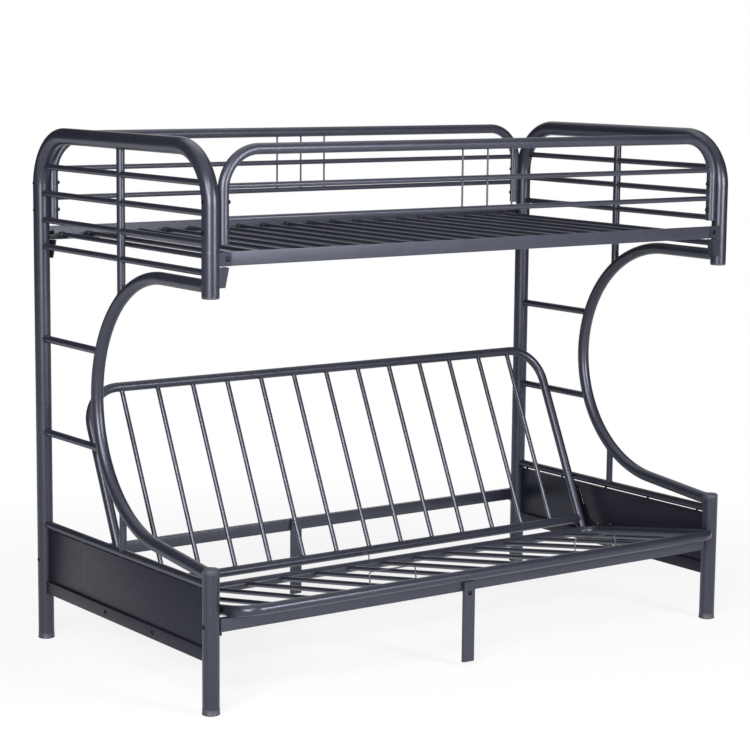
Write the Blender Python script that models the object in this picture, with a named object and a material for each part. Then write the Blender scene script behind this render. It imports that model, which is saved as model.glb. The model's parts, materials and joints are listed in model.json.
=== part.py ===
"""Metal futon bunk bed: a bunk over a sofa whose seat and back fold out into a wide bed.

Frame of the model: X runs along the bed, -Y is the front, +Z is up, and the origin is on the
floor under the middle of the bed's box. Every height below is above the floor, and every
depth is measured back from the axis of the front posts.
"""

import math

import bmesh
import bpy
from mathutils import Vector

# Driving dimensions in metres, angles in degrees

POST_SPACING_X = 1.945
POST_SPACING_Y = 1.003
FIT_GAP = 0.0003
OVERRUN = 0.010

# Posts and the hoop that joins them over each end
POST_DIAMETER = 0.050
HOOP_AXIS_HEIGHT = 1.603
HOOP_BEND_RADIUS = 0.160
BACK_POST_JOINT_DROP = 0.020
FRONT_POST_OVERHANG = 0.090
POST_PLUG_THICKNESS = 0.006
LOWER_FRONT_POST_RISE = 0.0207
POST_CAP_HEIGHT = 0.015
FOOT_CAP_HEIGHT = 0.018
FOOT_CAP_FLARE = 0.002

# The bent tube of each end: its reach is a share of the posts' spacing, the rest of its fall
STEP_TUBE_DIAMETER = 0.038
STEP_TUBE_DROP = 0.057
STEP_REACH_SHARE = 0.651
STEP_ARC_SHARE = 0.4842
STEP_JOINT_SHARE = 0.4606

# Rungs and uprights of each end
LADDER_RUNG_DIAMETER = 0.023
LOWER_LADDER_RUNG_SHARE = 0.3257
UPPER_LADDER_RUNG_SHARE = 0.6899
GUARD_RUNG_DIAMETER = 0.019
GUARD_RUNG_COUNT = 4
TOP_GUARD_RUNG_DROP = 0.098
LOWEST_GUARD_RUNG_RISE = 0.0369
UPRIGHT_SHARE = 0.4985
GUARD_UPRIGHT_DIAMETER = 0.025
STRUT_DIAMETER = 0.022

# Side panel under each end's bent tube
PANEL_TOP = 0.385
PANEL_BOTTOM = 0.150
PANEL_TOP_RAIL_DIAMETER = 0.025
PANEL_SLIT_HEIGHT = 0.006
PANEL_SHEET_THICKNESS = 0.0016
PANEL_TAB_WIDTH = 0.010
PANEL_TAB_SHARES = (0.060, 0.300, 0.515, 0.750, 0.945)
PANEL_BOTTOM_RAIL_HEIGHT = 0.040
PANEL_BOTTOM_RAIL_DEPTH = 0.020

# Upper side rails, their brackets on the posts, and the slats that lie in them
SIDE_RAIL_LEG = 0.040
SIDE_RAIL_THICKNESS = 0.0025
SIDE_RAIL_DROP = 0.326
SIDE_RAIL_END_MARGIN = 0.005
RAIL_PLANE_DEPTH = 0.017
RAIL_BRACKET_REACH = 0.0567
RAIL_BRACKET_THICKNESS = 0.003
WEDGE_TOP_REACH = 0.0490
WEDGE_BOTTOM_REACH = 0.0368
WEDGE_TOP_DROP = 0.004
WEDGE_HEIGHT = 0.056
WEDGE_FLANGE_DEPTH = 0.026
WEDGE_FLANGE_INSET = 0.0005
DECK_SLAT_COUNT = 20
DECK_SLAT_END_MARGIN = 0.0476
DECK_SLAT_DIAMETER = 0.0155
SLAT_PLUG_DIAMETER = 0.0185
SLAT_PLUG_LENGTH = 0.016

# Guard rails of the bunk
GUARD_RAIL_DIAMETER = 0.032
GUARD_RAIL_TOP_DROP = 0.005
GUARD_RAIL_FOOT_RISE = 0.017
GUARD_RAIL_BEND_RADIUS = 0.115
GUARD_BAR_DIAMETER = 0.016
GUARD_BAR_SHARES = (0.6174, 0.2727)
GUARD_WIRE_DIAMETER = 0.006
GUARD_WIRE_COUNT = 3
GUARD_WIRE_PITCH = 0.095

# Lower rails and the legs at their middle
LOWER_RAIL_TOP = 0.277
LOWER_RAIL_HEIGHT = 0.040
LOWER_RAIL_DEPTH = 0.020
LOWER_RAIL_EDGE = 0.003
LEG_WIDTH = 0.040
LEG_DEPTH = 0.0125
FRONT_LEG_X = -0.0555
BACK_LEG_X = -0.0235
FRONT_LEG_TOP_DROP = 0.009
BACK_LEG_TOP_RISE = 0.003
LEG_FOOT_HEIGHT = 0.012
LEG_FOOT_FLARE = 0.002

# Sofa seat, whose depth is a share of the posts' spacing
SEAT_TUBE_DIAMETER = 0.032
SEAT_DEPTH_SHARE = 0.62094
SEAT_CORNER_RADIUS = 0.060
SEAT_TILT = 9.06
SEAT_REAR_SETBACK = 0.0406
SEAT_DROP = 0.0166
SOFA_SLAT_DIAMETER = 0.015
SOFA_SLAT_COUNT = 13
SOFA_SLAT_END_MARGIN = 0.134
RETAINER_OFFSET = 0.395
RETAINER_WIDTH = 0.167
RETAINER_HEIGHT = 0.040
RETAINER_BEND_RADIUS = 0.020
RETAINER_WIRE_DIAMETER = 0.006
HOOK_HEIGHT = 0.022
HOOK_REACH = 0.022
HOOK_BEND_RADIUS = 0.008

# Sofa back, whose length is a share of the posts' spacing
BACK_TUBE_DIAMETER = 0.030
BACK_SIDE_SETBACK = 0.059
BACK_CORNER_RADIUS = 0.120
BACK_RECLINE = 25.0
BACK_BOTTOM_SETBACK = 0.0242
BACK_LENGTH_SHARE = 0.63011
BACK_TUBE_TAIL = 0.018

# Folding gear at each side of the sofa, placed by shares of the posts' spacing
SOFA_PIVOT_SHARE = 0.57099
PIVOT_PIN_DIAMETER = 0.010
PIVOT_HOLE_CLEARANCE = 0.0005
PIVOT_HEAD_DIAMETER = 0.016
PIVOT_HEAD_THICKNESS = 0.0037
HINGE_PLATE_THICKNESS = 0.003
HINGE_PLATE_LENGTH = 0.165
HINGE_WELD_DEPTH = 0.0012
HINGE_PLATE_END_RADIUS = 0.014
HINGE_GUSSET_HEIGHT = 0.072
HINGE_GUSSET_REACH = 0.070
HINGE_GUSSET_TOP_FRONT = 0.013
HINGE_GUSSET_TOP_REAR = 0.018
BACK_LINK_LENGTH = 0.128
BACK_LINK_END_RADIUS = 0.011
BACK_LINK_BOSS_DIAMETER = 0.014
SWING_LINK_THICKNESS = 0.004
SWING_LINK_END_RADIUS = 0.013
ANCHOR_STUD_DIAMETER = 0.012
ANCHOR_HEAD_DIAMETER = 0.020
ANCHOR_HEAD_THICKNESS = 0.002
SWING_BRACKET_THICKNESS = 0.003
SWING_BRACKET_BOLT_SHARES = (0.3131, 0.5952)
SWING_BRACKET_END_RADIUS = 0.018
STOP_PEG_DIAMETER = 0.010
SOFA_STOP_REACH = 0.060
BED_STOP_REACH = 0.020

# Sides of the round pieces, and steps of their bends
POST_SIDES = 16
TUBE_SIDES = 12
SLAT_SIDES = 8
WIRE_SIDES = 6
POST_BEND_STEPS = 8
TUBE_BEND_STEPS = 6
STEP_ARC_STEPS = 20
SMOOTH_ANGLE = 40.0

# Sizes that follow from the driving dimensions

POST_RADIUS = POST_DIAMETER / 2
END_X = POST_SPACING_X / 2
BACK_Y = POST_SPACING_Y
FOOT_CAP_RADIUS = POST_RADIUS + FOOT_CAP_FLARE
POST_BASE = FOOT_CAP_HEIGHT + FIT_GAP
SIDE_RAIL_BOTTOM = HOOP_AXIS_HEIGHT - SIDE_RAIL_DROP
SIDE_RAIL_TOP = SIDE_RAIL_BOTTOM + SIDE_RAIL_LEG
UPPER_FRONT_POST_END = SIDE_RAIL_BOTTOM - FRONT_POST_OVERHANG
STEP_TUBE_RADIUS = STEP_TUBE_DIAMETER / 2
STEP_TUBE_TOP_HEIGHT = SIDE_RAIL_BOTTOM - STEP_TUBE_DROP
STEP_FOOT_HEIGHT = PANEL_TOP + FIT_GAP + STEP_TUBE_RADIUS
STEP_FALL = STEP_TUBE_TOP_HEIGHT - STEP_FOOT_HEIGHT
STEP_ARC_RADIUS = STEP_FALL * STEP_ARC_SHARE
STEP_ARC_CENTRE_Y = POST_SPACING_Y * STEP_REACH_SHARE - STEP_ARC_RADIUS
STEP_ARC_CENTRE_Z = STEP_TUBE_TOP_HEIGHT - STEP_ARC_RADIUS
STEP_JOINT_HEIGHT = STEP_FOOT_HEIGHT + STEP_FALL * STEP_JOINT_SHARE
BACK_POST_JOINT_HEIGHT = STEP_JOINT_HEIGHT - BACK_POST_JOINT_DROP
LOWER_LADDER_RUNG_HEIGHT = STEP_FOOT_HEIGHT + STEP_FALL * LOWER_LADDER_RUNG_SHARE
UPPER_LADDER_RUNG_HEIGHT = STEP_FOOT_HEIGHT + STEP_FALL * UPPER_LADDER_RUNG_SHARE
LOWER_FRONT_POST_TOP = STEP_FOOT_HEIGHT + LOWER_FRONT_POST_RISE
FRONT_POST_TUBE_TOP = LOWER_FRONT_POST_TOP - POST_CAP_HEIGHT
TOP_GUARD_RUNG_HEIGHT = HOOP_AXIS_HEIGHT - TOP_GUARD_RUNG_DROP
LOWEST_GUARD_RUNG_HEIGHT = STEP_TUBE_TOP_HEIGHT + LOWEST_GUARD_RUNG_RISE
GUARD_RUNG_SPAN = TOP_GUARD_RUNG_HEIGHT - LOWEST_GUARD_RUNG_HEIGHT
UPRIGHT_Y = POST_SPACING_Y * UPRIGHT_SHARE
PANEL_TOP_RAIL_Z = PANEL_TOP - PANEL_TOP_RAIL_DIAMETER / 2
PANEL_SHEET_TOP = PANEL_TOP - PANEL_TOP_RAIL_DIAMETER - PANEL_SLIT_HEIGHT
PANEL_BOLT_Z = PANEL_BOTTOM + PANEL_BOTTOM_RAIL_HEIGHT / 2
SIDE_RAIL_HALF_LENGTH = END_X - POST_RADIUS - SIDE_RAIL_END_MARGIN
DECK_SLAT_REACH = SIDE_RAIL_HALF_LENGTH - DECK_SLAT_END_MARGIN
SLAT_UNDERSIDE = SLAT_PLUG_DIAMETER / 2 * math.cos(math.pi / SLAT_SIDES)
SLAT_HEIGHT = SIDE_RAIL_BOTTOM + SIDE_RAIL_THICKNESS + FIT_GAP + SLAT_UNDERSIDE
GUARD_LEG_X = END_X - POST_RADIUS - FIT_GAP - GUARD_RAIL_DIAMETER / 2
GUARD_RAIL_TOP_HEIGHT = HOOP_AXIS_HEIGHT - GUARD_RAIL_TOP_DROP
GUARD_RAIL_FOOT_HEIGHT = SIDE_RAIL_TOP + GUARD_RAIL_FOOT_RISE
GUARD_LEG_LENGTH = GUARD_RAIL_TOP_HEIGHT - GUARD_RAIL_FOOT_HEIGHT
LOWER_RAIL_HALF_LENGTH = END_X - POST_RADIUS - FIT_GAP
SEAT_TUBE_RADIUS = SEAT_TUBE_DIAMETER / 2
SEAT_FRONT_SETBACK = SEAT_REAR_SETBACK + POST_SPACING_Y * SEAT_DEPTH_SHARE
SEAT_UNDERSIDE = SEAT_DROP + SEAT_TUBE_RADIUS
BACK_HALF_WIDTH = END_X - BACK_SIDE_SETBACK
BACK_TUBE_RADIUS = BACK_TUBE_DIAMETER / 2
BACK_TOP_SETBACK = BACK_BOTTOM_SETBACK + POST_SPACING_Y * BACK_LENGTH_SHARE
SOFA_PIVOT_Y = POST_SPACING_Y * SOFA_PIVOT_SHARE
PIVOT_RADIUS = PIVOT_PIN_DIAMETER / 2
PIVOT_HOLE_DIAMETER = PIVOT_PIN_DIAMETER + PIVOT_HOLE_CLEARANCE + PIVOT_HOLE_CLEARANCE

# Layers of the folding gear, each as its distance inwards from the posts' axis
BACK_TUBE_OUTER = BACK_SIDE_SETBACK - BACK_TUBE_RADIUS
BACK_TUBE_INNER = BACK_TUBE_OUTER + BACK_TUBE_DIAMETER
HINGE_PLATE_INNER = BACK_TUBE_OUTER - FIT_GAP
HINGE_PLATE_OUTER = HINGE_PLATE_INNER - HINGE_PLATE_THICKNESS
SEAT_SIDE_SETBACK = HINGE_PLATE_INNER - HINGE_WELD_DEPTH + SEAT_TUBE_RADIUS
SEAT_HALF_WIDTH = END_X - SEAT_SIDE_SETBACK
SOFA_SLAT_REACH = SEAT_HALF_WIDTH - SOFA_SLAT_END_MARGIN
BACK_LINK_INNER = HINGE_PLATE_OUTER - FIT_GAP
BACK_LINK_OUTER = BACK_LINK_INNER - HINGE_PLATE_THICKNESS
SWING_LINK_INNER = BACK_LINK_OUTER - FIT_GAP
SWING_LINK_OUTER = SWING_LINK_INNER - SWING_LINK_THICKNESS
PIVOT_HEAD_OUTER = SWING_LINK_OUTER - FIT_GAP - PIVOT_HEAD_THICKNESS
SWING_BRACKET_OUTER = PANEL_BOTTOM_RAIL_DEPTH / 2 + FIT_GAP
SWING_BRACKET_INNER = SWING_BRACKET_OUTER + SWING_BRACKET_THICKNESS


def seat_pivot_height(pivot_y, tilt):
    """Height of the pivot at which the seat's side tubes just clear the front lower rail."""
    angle = math.radians(tilt)
    reach = pivot_y - LOWER_RAIL_DEPTH / 2
    return LOWER_RAIL_TOP + FIT_GAP + SEAT_UNDERSIDE / math.cos(angle) - reach * math.tan(angle)


def bed_slope():
    """Angle in degrees by which the flat back falls from the pivot to the back lower rail."""
    top_tube_height = LOWER_RAIL_TOP + BACK_LEG_TOP_RISE + FIT_GAP + BACK_TUBE_RADIUS
    fall = seat_pivot_height(0, 0) - top_tube_height
    return math.degrees(math.asin(fall / BACK_TOP_SETBACK))


SOFA_PIVOT = Vector((0, SOFA_PIVOT_Y, seat_pivot_height(SOFA_PIVOT_Y, SEAT_TILT)))
BED_PIVOT_Y = BACK_Y - BACK_TOP_SETBACK * math.cos(math.radians(bed_slope()))
BED_PIVOT = Vector((0, BED_PIVOT_Y, seat_pivot_height(BED_PIVOT_Y, 0)))


def swing_anchor():
    """Axis of the swing links: level with the panel bolts, as far from both pivot places."""
    sofa_rise = SOFA_PIVOT.z - PANEL_BOLT_Z
    bed_rise = BED_PIVOT.z - PANEL_BOLT_Z
    squares = SOFA_PIVOT.y**2 - BED_PIVOT.y**2 + sofa_rise**2 - bed_rise**2
    return Vector((0, squares / (SOFA_PIVOT.y - BED_PIVOT.y) / 2, PANEL_BOLT_Z))


ANCHOR = swing_anchor()
SEAT_ANGLE = -math.radians(SEAT_TILT)
BACK_ANGLE = math.radians(90 - BACK_RECLINE)


def front_of_seat():
    """Depth of the seat's foremost point, which is the front of the bed's box."""
    tube_y = SOFA_PIVOT.y - SEAT_FRONT_SETBACK * math.cos(SEAT_ANGLE)
    return tube_y + SEAT_DROP * math.sin(SEAT_ANGLE) - SEAT_TUBE_RADIUS


FRONT_POST_Y = -(front_of_seat() + BACK_Y + FOOT_CAP_RADIUS) / 2


# Modelling helpers


def clear_scene():
    """Empties the scene, so that the script gives the same model each time."""
    for obj in list(bpy.data.objects):
        bpy.data.objects.remove(obj, do_unlink=True)


def make_material(name, colour, roughness, metallic):
    """A Principled material of one colour."""
    material = bpy.data.materials.new(name)
    material.use_nodes = True
    shader = material.node_tree.nodes["Principled BSDF"]
    shader.inputs["Base Color"].default_value = (*colour, 1)
    shader.inputs["Roughness"].default_value = roughness
    shader.inputs["Metallic"].default_value = metallic
    material.diffuse_color = (*colour, 1)
    return material


def add_empty(name, parent=None, location=(0, 0, 0)):
    """An empty that places the pieces under it."""
    empty = bpy.data.objects.new(name, None)
    empty.location = location
    empty.parent = parent
    bpy.context.scene.collection.objects.link(empty)
    return empty


def add_object(name, mesh, parent, material, location=(0, 0, 0)):
    """Links a named object, smooth where it is round."""
    obj = bpy.data.objects.new(name, mesh)
    obj.location = location
    obj.parent = parent
    obj.data.materials.append(material)
    mesh.shade_smooth()
    mesh.set_sharp_from_angle(angle=math.radians(SMOOTH_ANGLE))
    bpy.context.scene.collection.objects.link(obj)
    return obj


def add_helper(name, mesh, like):
    """A hidden mesh that a Boolean of another object reads."""
    helper = bpy.data.objects.new(name, mesh)
    helper.location = like.location
    helper.rotation_euler = like.rotation_euler
    helper.parent = like.parent
    helper.hide_render = True
    helper.display_type = "WIRE"
    bpy.context.scene.collection.objects.link(helper)
    return helper


def combine(obj, mesh, operation):
    """Adds a Boolean with a helper made from the mesh."""
    step = len(obj.modifiers) + 1
    helper = add_helper(f"{obj.name}_tool_{step}", mesh, obj)
    modifier = obj.modifiers.new(f"{operation.lower()}_{step}", "BOOLEAN")
    modifier.operation = operation
    modifier.object = helper


def join(obj, *meshes):
    """Welds the meshes to the object."""
    for mesh in meshes:
        combine(obj, mesh, "UNION")


def carve(obj, *meshes):
    """Cuts the meshes out of the object."""
    for mesh in meshes:
        combine(obj, mesh, "DIFFERENCE")


def finish_mesh(work, name):
    """Turns a bmesh into a mesh whose faces all point outwards."""
    bmesh.ops.recalc_face_normals(work, faces=work.faces)
    mesh = bpy.data.meshes.new(name)
    work.to_mesh(mesh)
    work.free()
    return mesh


def arc(centre, toward, across, radius, start, end, steps):
    """Points on an arc in the plane of two unit directions, from one angle to another."""
    angles = [start + (end - start) * step / steps for step in range(steps + 1)]
    return [centre + radius * (toward * math.cos(a) + across * math.sin(a)) for a in angles]


def rounded_path(corners, radius, steps, closed=False):
    """A path through the corners, with each bend rounded to the radius."""
    path = []
    last = len(corners) - 1
    for index, corner in enumerate(corners):
        if not closed and index in (0, last):
            path.append(corner)
            continue
        arriving = (corner - corners[index - 1]).normalized()
        leaving = (corners[(index + 1) % len(corners)] - corner).normalized()
        turn = arriving.angle(leaving)
        inward = (leaving - arriving * arriving.dot(leaving)).normalized()
        start = corner - arriving * radius * math.tan(turn / 2)
        path += arc(start + inward * radius, -inward, arriving, radius, 0, turn, steps)
    return path


def corner_angles(sides):
    """Angles of a round section's corners: a post has a corner on each axis, others a flat."""
    shift = 0 if sides == POST_SIDES else 1 / 2
    return [math.tau * (side + shift) / sides for side in range(sides)]


def add_sweep(work, path, diameter, sides, normal, closed=False, ends=(None, None)):
    """Adds a round tube along a flat path, mitred at each point of it.

    An end is cut square to the path's last step, or square to the direction given for it.
    """
    rings = []
    count = len(path)
    for index, point in enumerate(path):
        before = path[index - 1] if closed or index > 0 else None
        after = path[(index + 1) % count] if closed or index < count - 1 else None
        arriving = (point - before).normalized() if before is not None else ends[0]
        leaving = (after - point).normalized() if after is not None else ends[1]
        arriving = arriving if arriving is not None else leaving
        leaving = leaving if leaving is not None else arriving
        if before is None:
            leaving = arriving
        if after is None:
            arriving = leaving
        tangent = (arriving + leaving).normalized()
        across = normal.cross(tangent) / tangent.dot(arriving)
        ring = []
        for angle in corner_angles(sides):
            offset = normal * math.cos(angle) + across * math.sin(angle)
            ring.append(work.verts.new(point + offset * diameter / 2))
        rings.append(ring)
    pairs = list(zip(rings, rings[1:] + rings[:1]))
    for ring, following in pairs if closed else pairs[:-1]:
        for side in range(sides):
            after = (side + 1) % sides
            work.faces.new((ring[side], ring[after], following[after], following[side]))
    if not closed:
        work.faces.new(rings[0])
        work.faces.new(rings[-1])


ALONG_X = Vector((1, 0, 0))
ALONG_Y = Vector((0, 1, 0))
ALONG_Z = Vector((0, 0, 1))


def tube(name, path, diameter, sides=TUBE_SIDES, normal=ALONG_X, **shape):
    """The mesh of one bent or straight tube."""
    work = bmesh.new()
    add_sweep(work, path, diameter, sides, normal, **shape)
    return finish_mesh(work, name)


def tubes(name, paths, diameter, sides, normal=ALONG_X):
    """One mesh of several tubes that don't touch each other."""
    work = bmesh.new()
    for path in paths:
        add_sweep(work, path, diameter, sides, normal)
    return finish_mesh(work, name)


def turned(name, profile, axis, normal, sides):
    """A turned piece: its profile lists each place along the axis with the diameter there."""
    work = bmesh.new()
    across = axis.cross(normal)
    rings = []
    for place, diameter in profile:
        offsets = [normal * math.cos(a) + across * math.sin(a) for a in corner_angles(sides)]
        rings.append([work.verts.new(place + offset * diameter / 2) for offset in offsets])
    for ring, following in zip(rings, rings[1:]):
        for side in range(sides):
            after = (side + 1) % sides
            work.faces.new((ring[side], ring[after], following[after], following[side]))
    work.faces.new(rings[0])
    work.faces.new(rings[-1])
    return finish_mesh(work, name)


def prism(name, outline, direction, length):
    """A flat outline pushed along a direction."""
    work = bmesh.new()
    near = [work.verts.new(point) for point in outline]
    far = [work.verts.new(point + direction * length) for point in outline]
    work.faces.new(near)
    work.faces.new(far)
    for index in range(len(near)):
        after = (index + 1) % len(near)
        work.faces.new((near[index], near[after], far[after], far[index]))
    return finish_mesh(work, name)


def block(name, low, high):
    """A rectangular block between two corners."""
    outline = [
        Vector((low[0], low[1], low[2])),
        Vector((high[0], low[1], low[2])),
        Vector((high[0], high[1], low[2])),
        Vector((low[0], high[1], low[2])),
    ]
    return prism(name, outline, ALONG_Z, high[2] - low[2])


def link_plate(name, start, end, radius, x_from, x_to, steps=TUBE_BEND_STEPS):
    """A flat bar with round ends, from one pivot to the other, in a plane across X."""
    along = (end - start).normalized()
    across = ALONG_X.cross(along)
    quarter = math.pi / 2
    outline = arc(end, along, across, radius, -quarter, quarter, steps)
    outline += arc(start, -along, -across, radius, -quarter, quarter, steps)
    placed = [Vector((x_from, point.y, point.z)) for point in outline]
    return prism(name, placed, ALONG_X, x_to - x_from)


def cross_rod(name, centre, diameter, x_from, x_to, sides=TUBE_SIDES):
    """A round bar along X through a point."""
    ends = [Vector((x, centre.y, centre.z)) for x in (x_from, x_to)]
    return tube(name, ends, diameter, sides, ALONG_Y)


def yz(y, z):
    """A point in the plane of an end frame."""
    return Vector((0, y, z))


def evenly(reach, count):
    """Places along X, evenly spaced from one side of the middle to the other."""
    return [reach * (2 * index / (count - 1) - 1) for index in range(count)]


def fitted(diameter):
    """Diameter of the cutter that leaves the fit gap round a tube."""
    return diameter + FIT_GAP + FIT_GAP


# End frames


def hoop_path():
    """From the back post's joint up, over and down to the end of the upper front post."""
    return rounded_path(
        [
            yz(BACK_Y, BACK_POST_JOINT_HEIGHT + FIT_GAP),
            yz(BACK_Y, HOOP_AXIS_HEIGHT),
            yz(0, HOOP_AXIS_HEIGHT),
            yz(0, UPPER_FRONT_POST_END + POST_PLUG_THICKNESS + FIT_GAP),
        ],
        HOOP_BEND_RADIUS,
        POST_BEND_STEPS,
    )


def hoop_inset(height):
    """How far the hoop's axis lies inside the posts' axes at a height."""
    rise = max(height - HOOP_AXIS_HEIGHT + HOOP_BEND_RADIUS, 0)
    return HOOP_BEND_RADIUS - math.sqrt(HOOP_BEND_RADIUS**2 - rise**2)


def step_foot_angle():
    """How far short of its lowest point the bent tube's arc ends, in radians."""
    fall = STEP_ARC_CENTRE_Z - STEP_FOOT_HEIGHT
    span = math.hypot(fall, STEP_ARC_CENTRE_Y)
    return math.acos(STEP_ARC_RADIUS / span) - math.atan2(STEP_ARC_CENTRE_Y, fall)


def step_arc(start, end, steps):
    """Points of the bent tube's arc, whose angle is 0 at its rearmost point."""
    centre = yz(STEP_ARC_CENTRE_Y, STEP_ARC_CENTRE_Z)
    return arc(centre, ALONG_Y, ALONG_Z, STEP_ARC_RADIUS, start, end, steps)


def step_tube_y(height):
    """Depth of the bent tube's axis at a height on its arc."""
    rise = height - STEP_ARC_CENTRE_Z
    return STEP_ARC_CENTRE_Y + math.sqrt(STEP_ARC_RADIUS**2 - rise**2)


def step_tube_rise(depth):
    """Height of the bent tube's arc above or below its centre at a depth."""
    return math.sqrt(STEP_ARC_RADIUS**2 - (depth - STEP_ARC_CENTRE_Y) ** 2)


def step_joint_angle():
    """Angle of the joint between the two halves of the bent tube."""
    return math.asin((STEP_JOINT_HEIGHT - STEP_ARC_CENTRE_Z) / STEP_ARC_RADIUS)


def step_joint_direction():
    """Direction of the bent tube at the joint of its halves, downwards."""
    angle = step_joint_angle()
    return yz(math.sin(angle), -math.cos(angle))


def upper_step_path():
    """From the upper front post back and down to the joint."""
    end = step_joint_angle() + FIT_GAP / STEP_ARC_RADIUS
    return [yz(0, STEP_TUBE_TOP_HEIGHT)] + step_arc(math.pi / 2, end, STEP_ARC_STEPS // 2)


def lower_step_path():
    """From the joint down and forward to the lower front post."""
    end = step_foot_angle() - math.pi / 2
    arc_points = step_arc(step_joint_angle(), end, STEP_ARC_STEPS // 2)
    return arc_points + [yz(0, STEP_FOOT_HEIGHT)]


def hoop_cutter():
    """The hoop with the fit gap round it."""
    return tube("hoop_cutter", hoop_path(), fitted(POST_DIAMETER), POST_SIDES)


def lower_post_cutters():
    """The two lower posts with the fit gap round them."""
    paths = []
    for depth in (0, BACK_Y):
        paths.append([yz(depth, -OVERRUN), yz(depth, BACK_POST_JOINT_HEIGHT + OVERRUN)])
    return tubes("lower_post_cutters", paths, fitted(POST_DIAMETER), POST_SIDES)


def rail_plane(outward):
    """Depth of the plane between an upper side rail and its brackets."""
    depth = 0 if outward < 0 else BACK_Y
    return depth + outward * RAIL_PLANE_DEPTH


def rail_bracket(outward, inward):
    """The plate on a post that the end of an upper side rail is bolted to."""
    depth = rail_plane(outward)
    x_ends = sorted((0, inward * RAIL_BRACKET_REACH))
    y_ends = sorted((depth, depth + outward * RAIL_BRACKET_THICKNESS))
    low = (x_ends[0], y_ends[0], SIDE_RAIL_BOTTOM)
    high = (x_ends[1], y_ends[1], SIDE_RAIL_TOP)
    return block("rail_bracket", low, high)


def rail_wedge(outward, inward):
    """The tapered gusset under a rail bracket."""
    depth = rail_plane(outward)
    top = SIDE_RAIL_BOTTOM - WEDGE_TOP_DROP
    bottom = top - WEDGE_HEIGHT
    outline = [
        Vector((0, depth, bottom)),
        Vector((inward * WEDGE_BOTTOM_REACH, depth, bottom)),
        Vector((inward * WEDGE_TOP_REACH, depth, top)),
        Vector((0, depth, top)),
    ]
    return prism("rail_wedge", outline, ALONG_Y * outward, RAIL_BRACKET_THICKNESS)


def rail_wedge_flange(outward, inward):
    """The slanted flange of a gusset, folded back towards the post's middle."""
    inset = WEDGE_FLANGE_INSET
    depth = rail_plane(outward) + outward * (RAIL_BRACKET_THICKNESS - inset)
    top = SIDE_RAIL_BOTTOM - WEDGE_TOP_DROP - inset
    bottom = top + inset - WEDGE_HEIGHT + inset
    outer = (WEDGE_BOTTOM_REACH - inset, WEDGE_TOP_REACH - inset)
    inner = [reach - RAIL_BRACKET_THICKNESS for reach in outer]
    outline = [
        Vector((inward * inner[0], depth, bottom)),
        Vector((inward * outer[0], depth, bottom)),
        Vector((inward * outer[1], depth, top)),
        Vector((inward * inner[1], depth, top)),
    ]
    return prism("rail_wedge_flange", outline, ALONG_Y * -outward, WEDGE_FLANGE_DEPTH)


def build_upper_hoop(side, end, inward, material):
    """Both upper posts and the bar over them, bent from one tube, with the rail brackets."""
    mesh = tube("hoop", hoop_path(), POST_DIAMETER, POST_SIDES)
    hoop = add_object(f"{side}_upper_hoop", mesh, end, material)
    for outward in (-1, 1):
        join(hoop, rail_bracket(outward, inward), rail_wedge(outward, inward))
        join(hoop, rail_wedge_flange(outward, inward))


def build_guard_grid(side, end, material):
    """The upright and four rungs that close the end of the bunk."""
    foot = yz(UPRIGHT_Y, STEP_ARC_CENTRE_Z + step_tube_rise(UPRIGHT_Y))
    head = yz(UPRIGHT_Y, HOOP_AXIS_HEIGHT)
    upright = tube("upright", [foot, head], GUARD_UPRIGHT_DIAMETER)
    grid = add_object(f"{side}_guard_grid", upright, end, material)
    paths = []
    for index in range(GUARD_RUNG_COUNT):
        height = TOP_GUARD_RUNG_HEIGHT - GUARD_RUNG_SPAN * index / (GUARD_RUNG_COUNT - 1)
        inset = hoop_inset(height)
        paths.append([yz(inset, height), yz(BACK_Y - inset, height)])
    join(grid, tubes("guard_rungs", paths, GUARD_RUNG_DIAMETER, TUBE_SIDES))
    step_cutter = tube("step_cutter", upper_step_path(), fitted(STEP_TUBE_DIAMETER), POST_SIDES)
    carve(grid, hoop_cutter(), step_cutter)


def build_upper_step_frame(side, end, material):
    """The upper half of the bent tube with the upper ladder rung."""
    path = upper_step_path()
    ends = (None, step_joint_direction())
    mesh = tube("upper_step", path, STEP_TUBE_DIAMETER, POST_SIDES, ends=ends)
    frame = add_object(f"{side}_upper_step_frame", mesh, end, material)
    height = UPPER_LADDER_RUNG_HEIGHT
    rung = [yz(step_tube_y(height), height), yz(BACK_Y, height)]
    join(frame, tube("upper_ladder_rung", rung, LADDER_RUNG_DIAMETER))
    carve(frame, hoop_cutter())


def build_lower_step_frame(side, end, material):
    """The lower half of the bent tube with the lower ladder rung and the strut to the panel."""
    path = lower_step_path()
    ends = (step_joint_direction(), None)
    mesh = tube("lower_step", path, STEP_TUBE_DIAMETER, POST_SIDES, ends=ends)
    frame = add_object(f"{side}_lower_step_frame", mesh, end, material)
    height = LOWER_LADDER_RUNG_HEIGHT
    rung = [yz(step_tube_y(height), height), yz(BACK_Y, height)]
    strut_top = STEP_ARC_CENTRE_Z - step_tube_rise(UPRIGHT_Y)
    strut = [yz(UPRIGHT_Y, PANEL_TOP_RAIL_Z), yz(UPRIGHT_Y, strut_top)]
    join(frame, tube("lower_ladder_rung", rung, LADDER_RUNG_DIAMETER))
    join(frame, tube("strut", strut, STRUT_DIAMETER))
    rail = [yz(STEP_ARC_CENTRE_Y, PANEL_TOP_RAIL_Z), yz(BACK_Y, PANEL_TOP_RAIL_Z)]
    rail_cutter = tube("panel_rail_cutter", rail, fitted(PANEL_TOP_RAIL_DIAMETER))
    carve(frame, lower_post_cutters(), rail_cutter)


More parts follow.
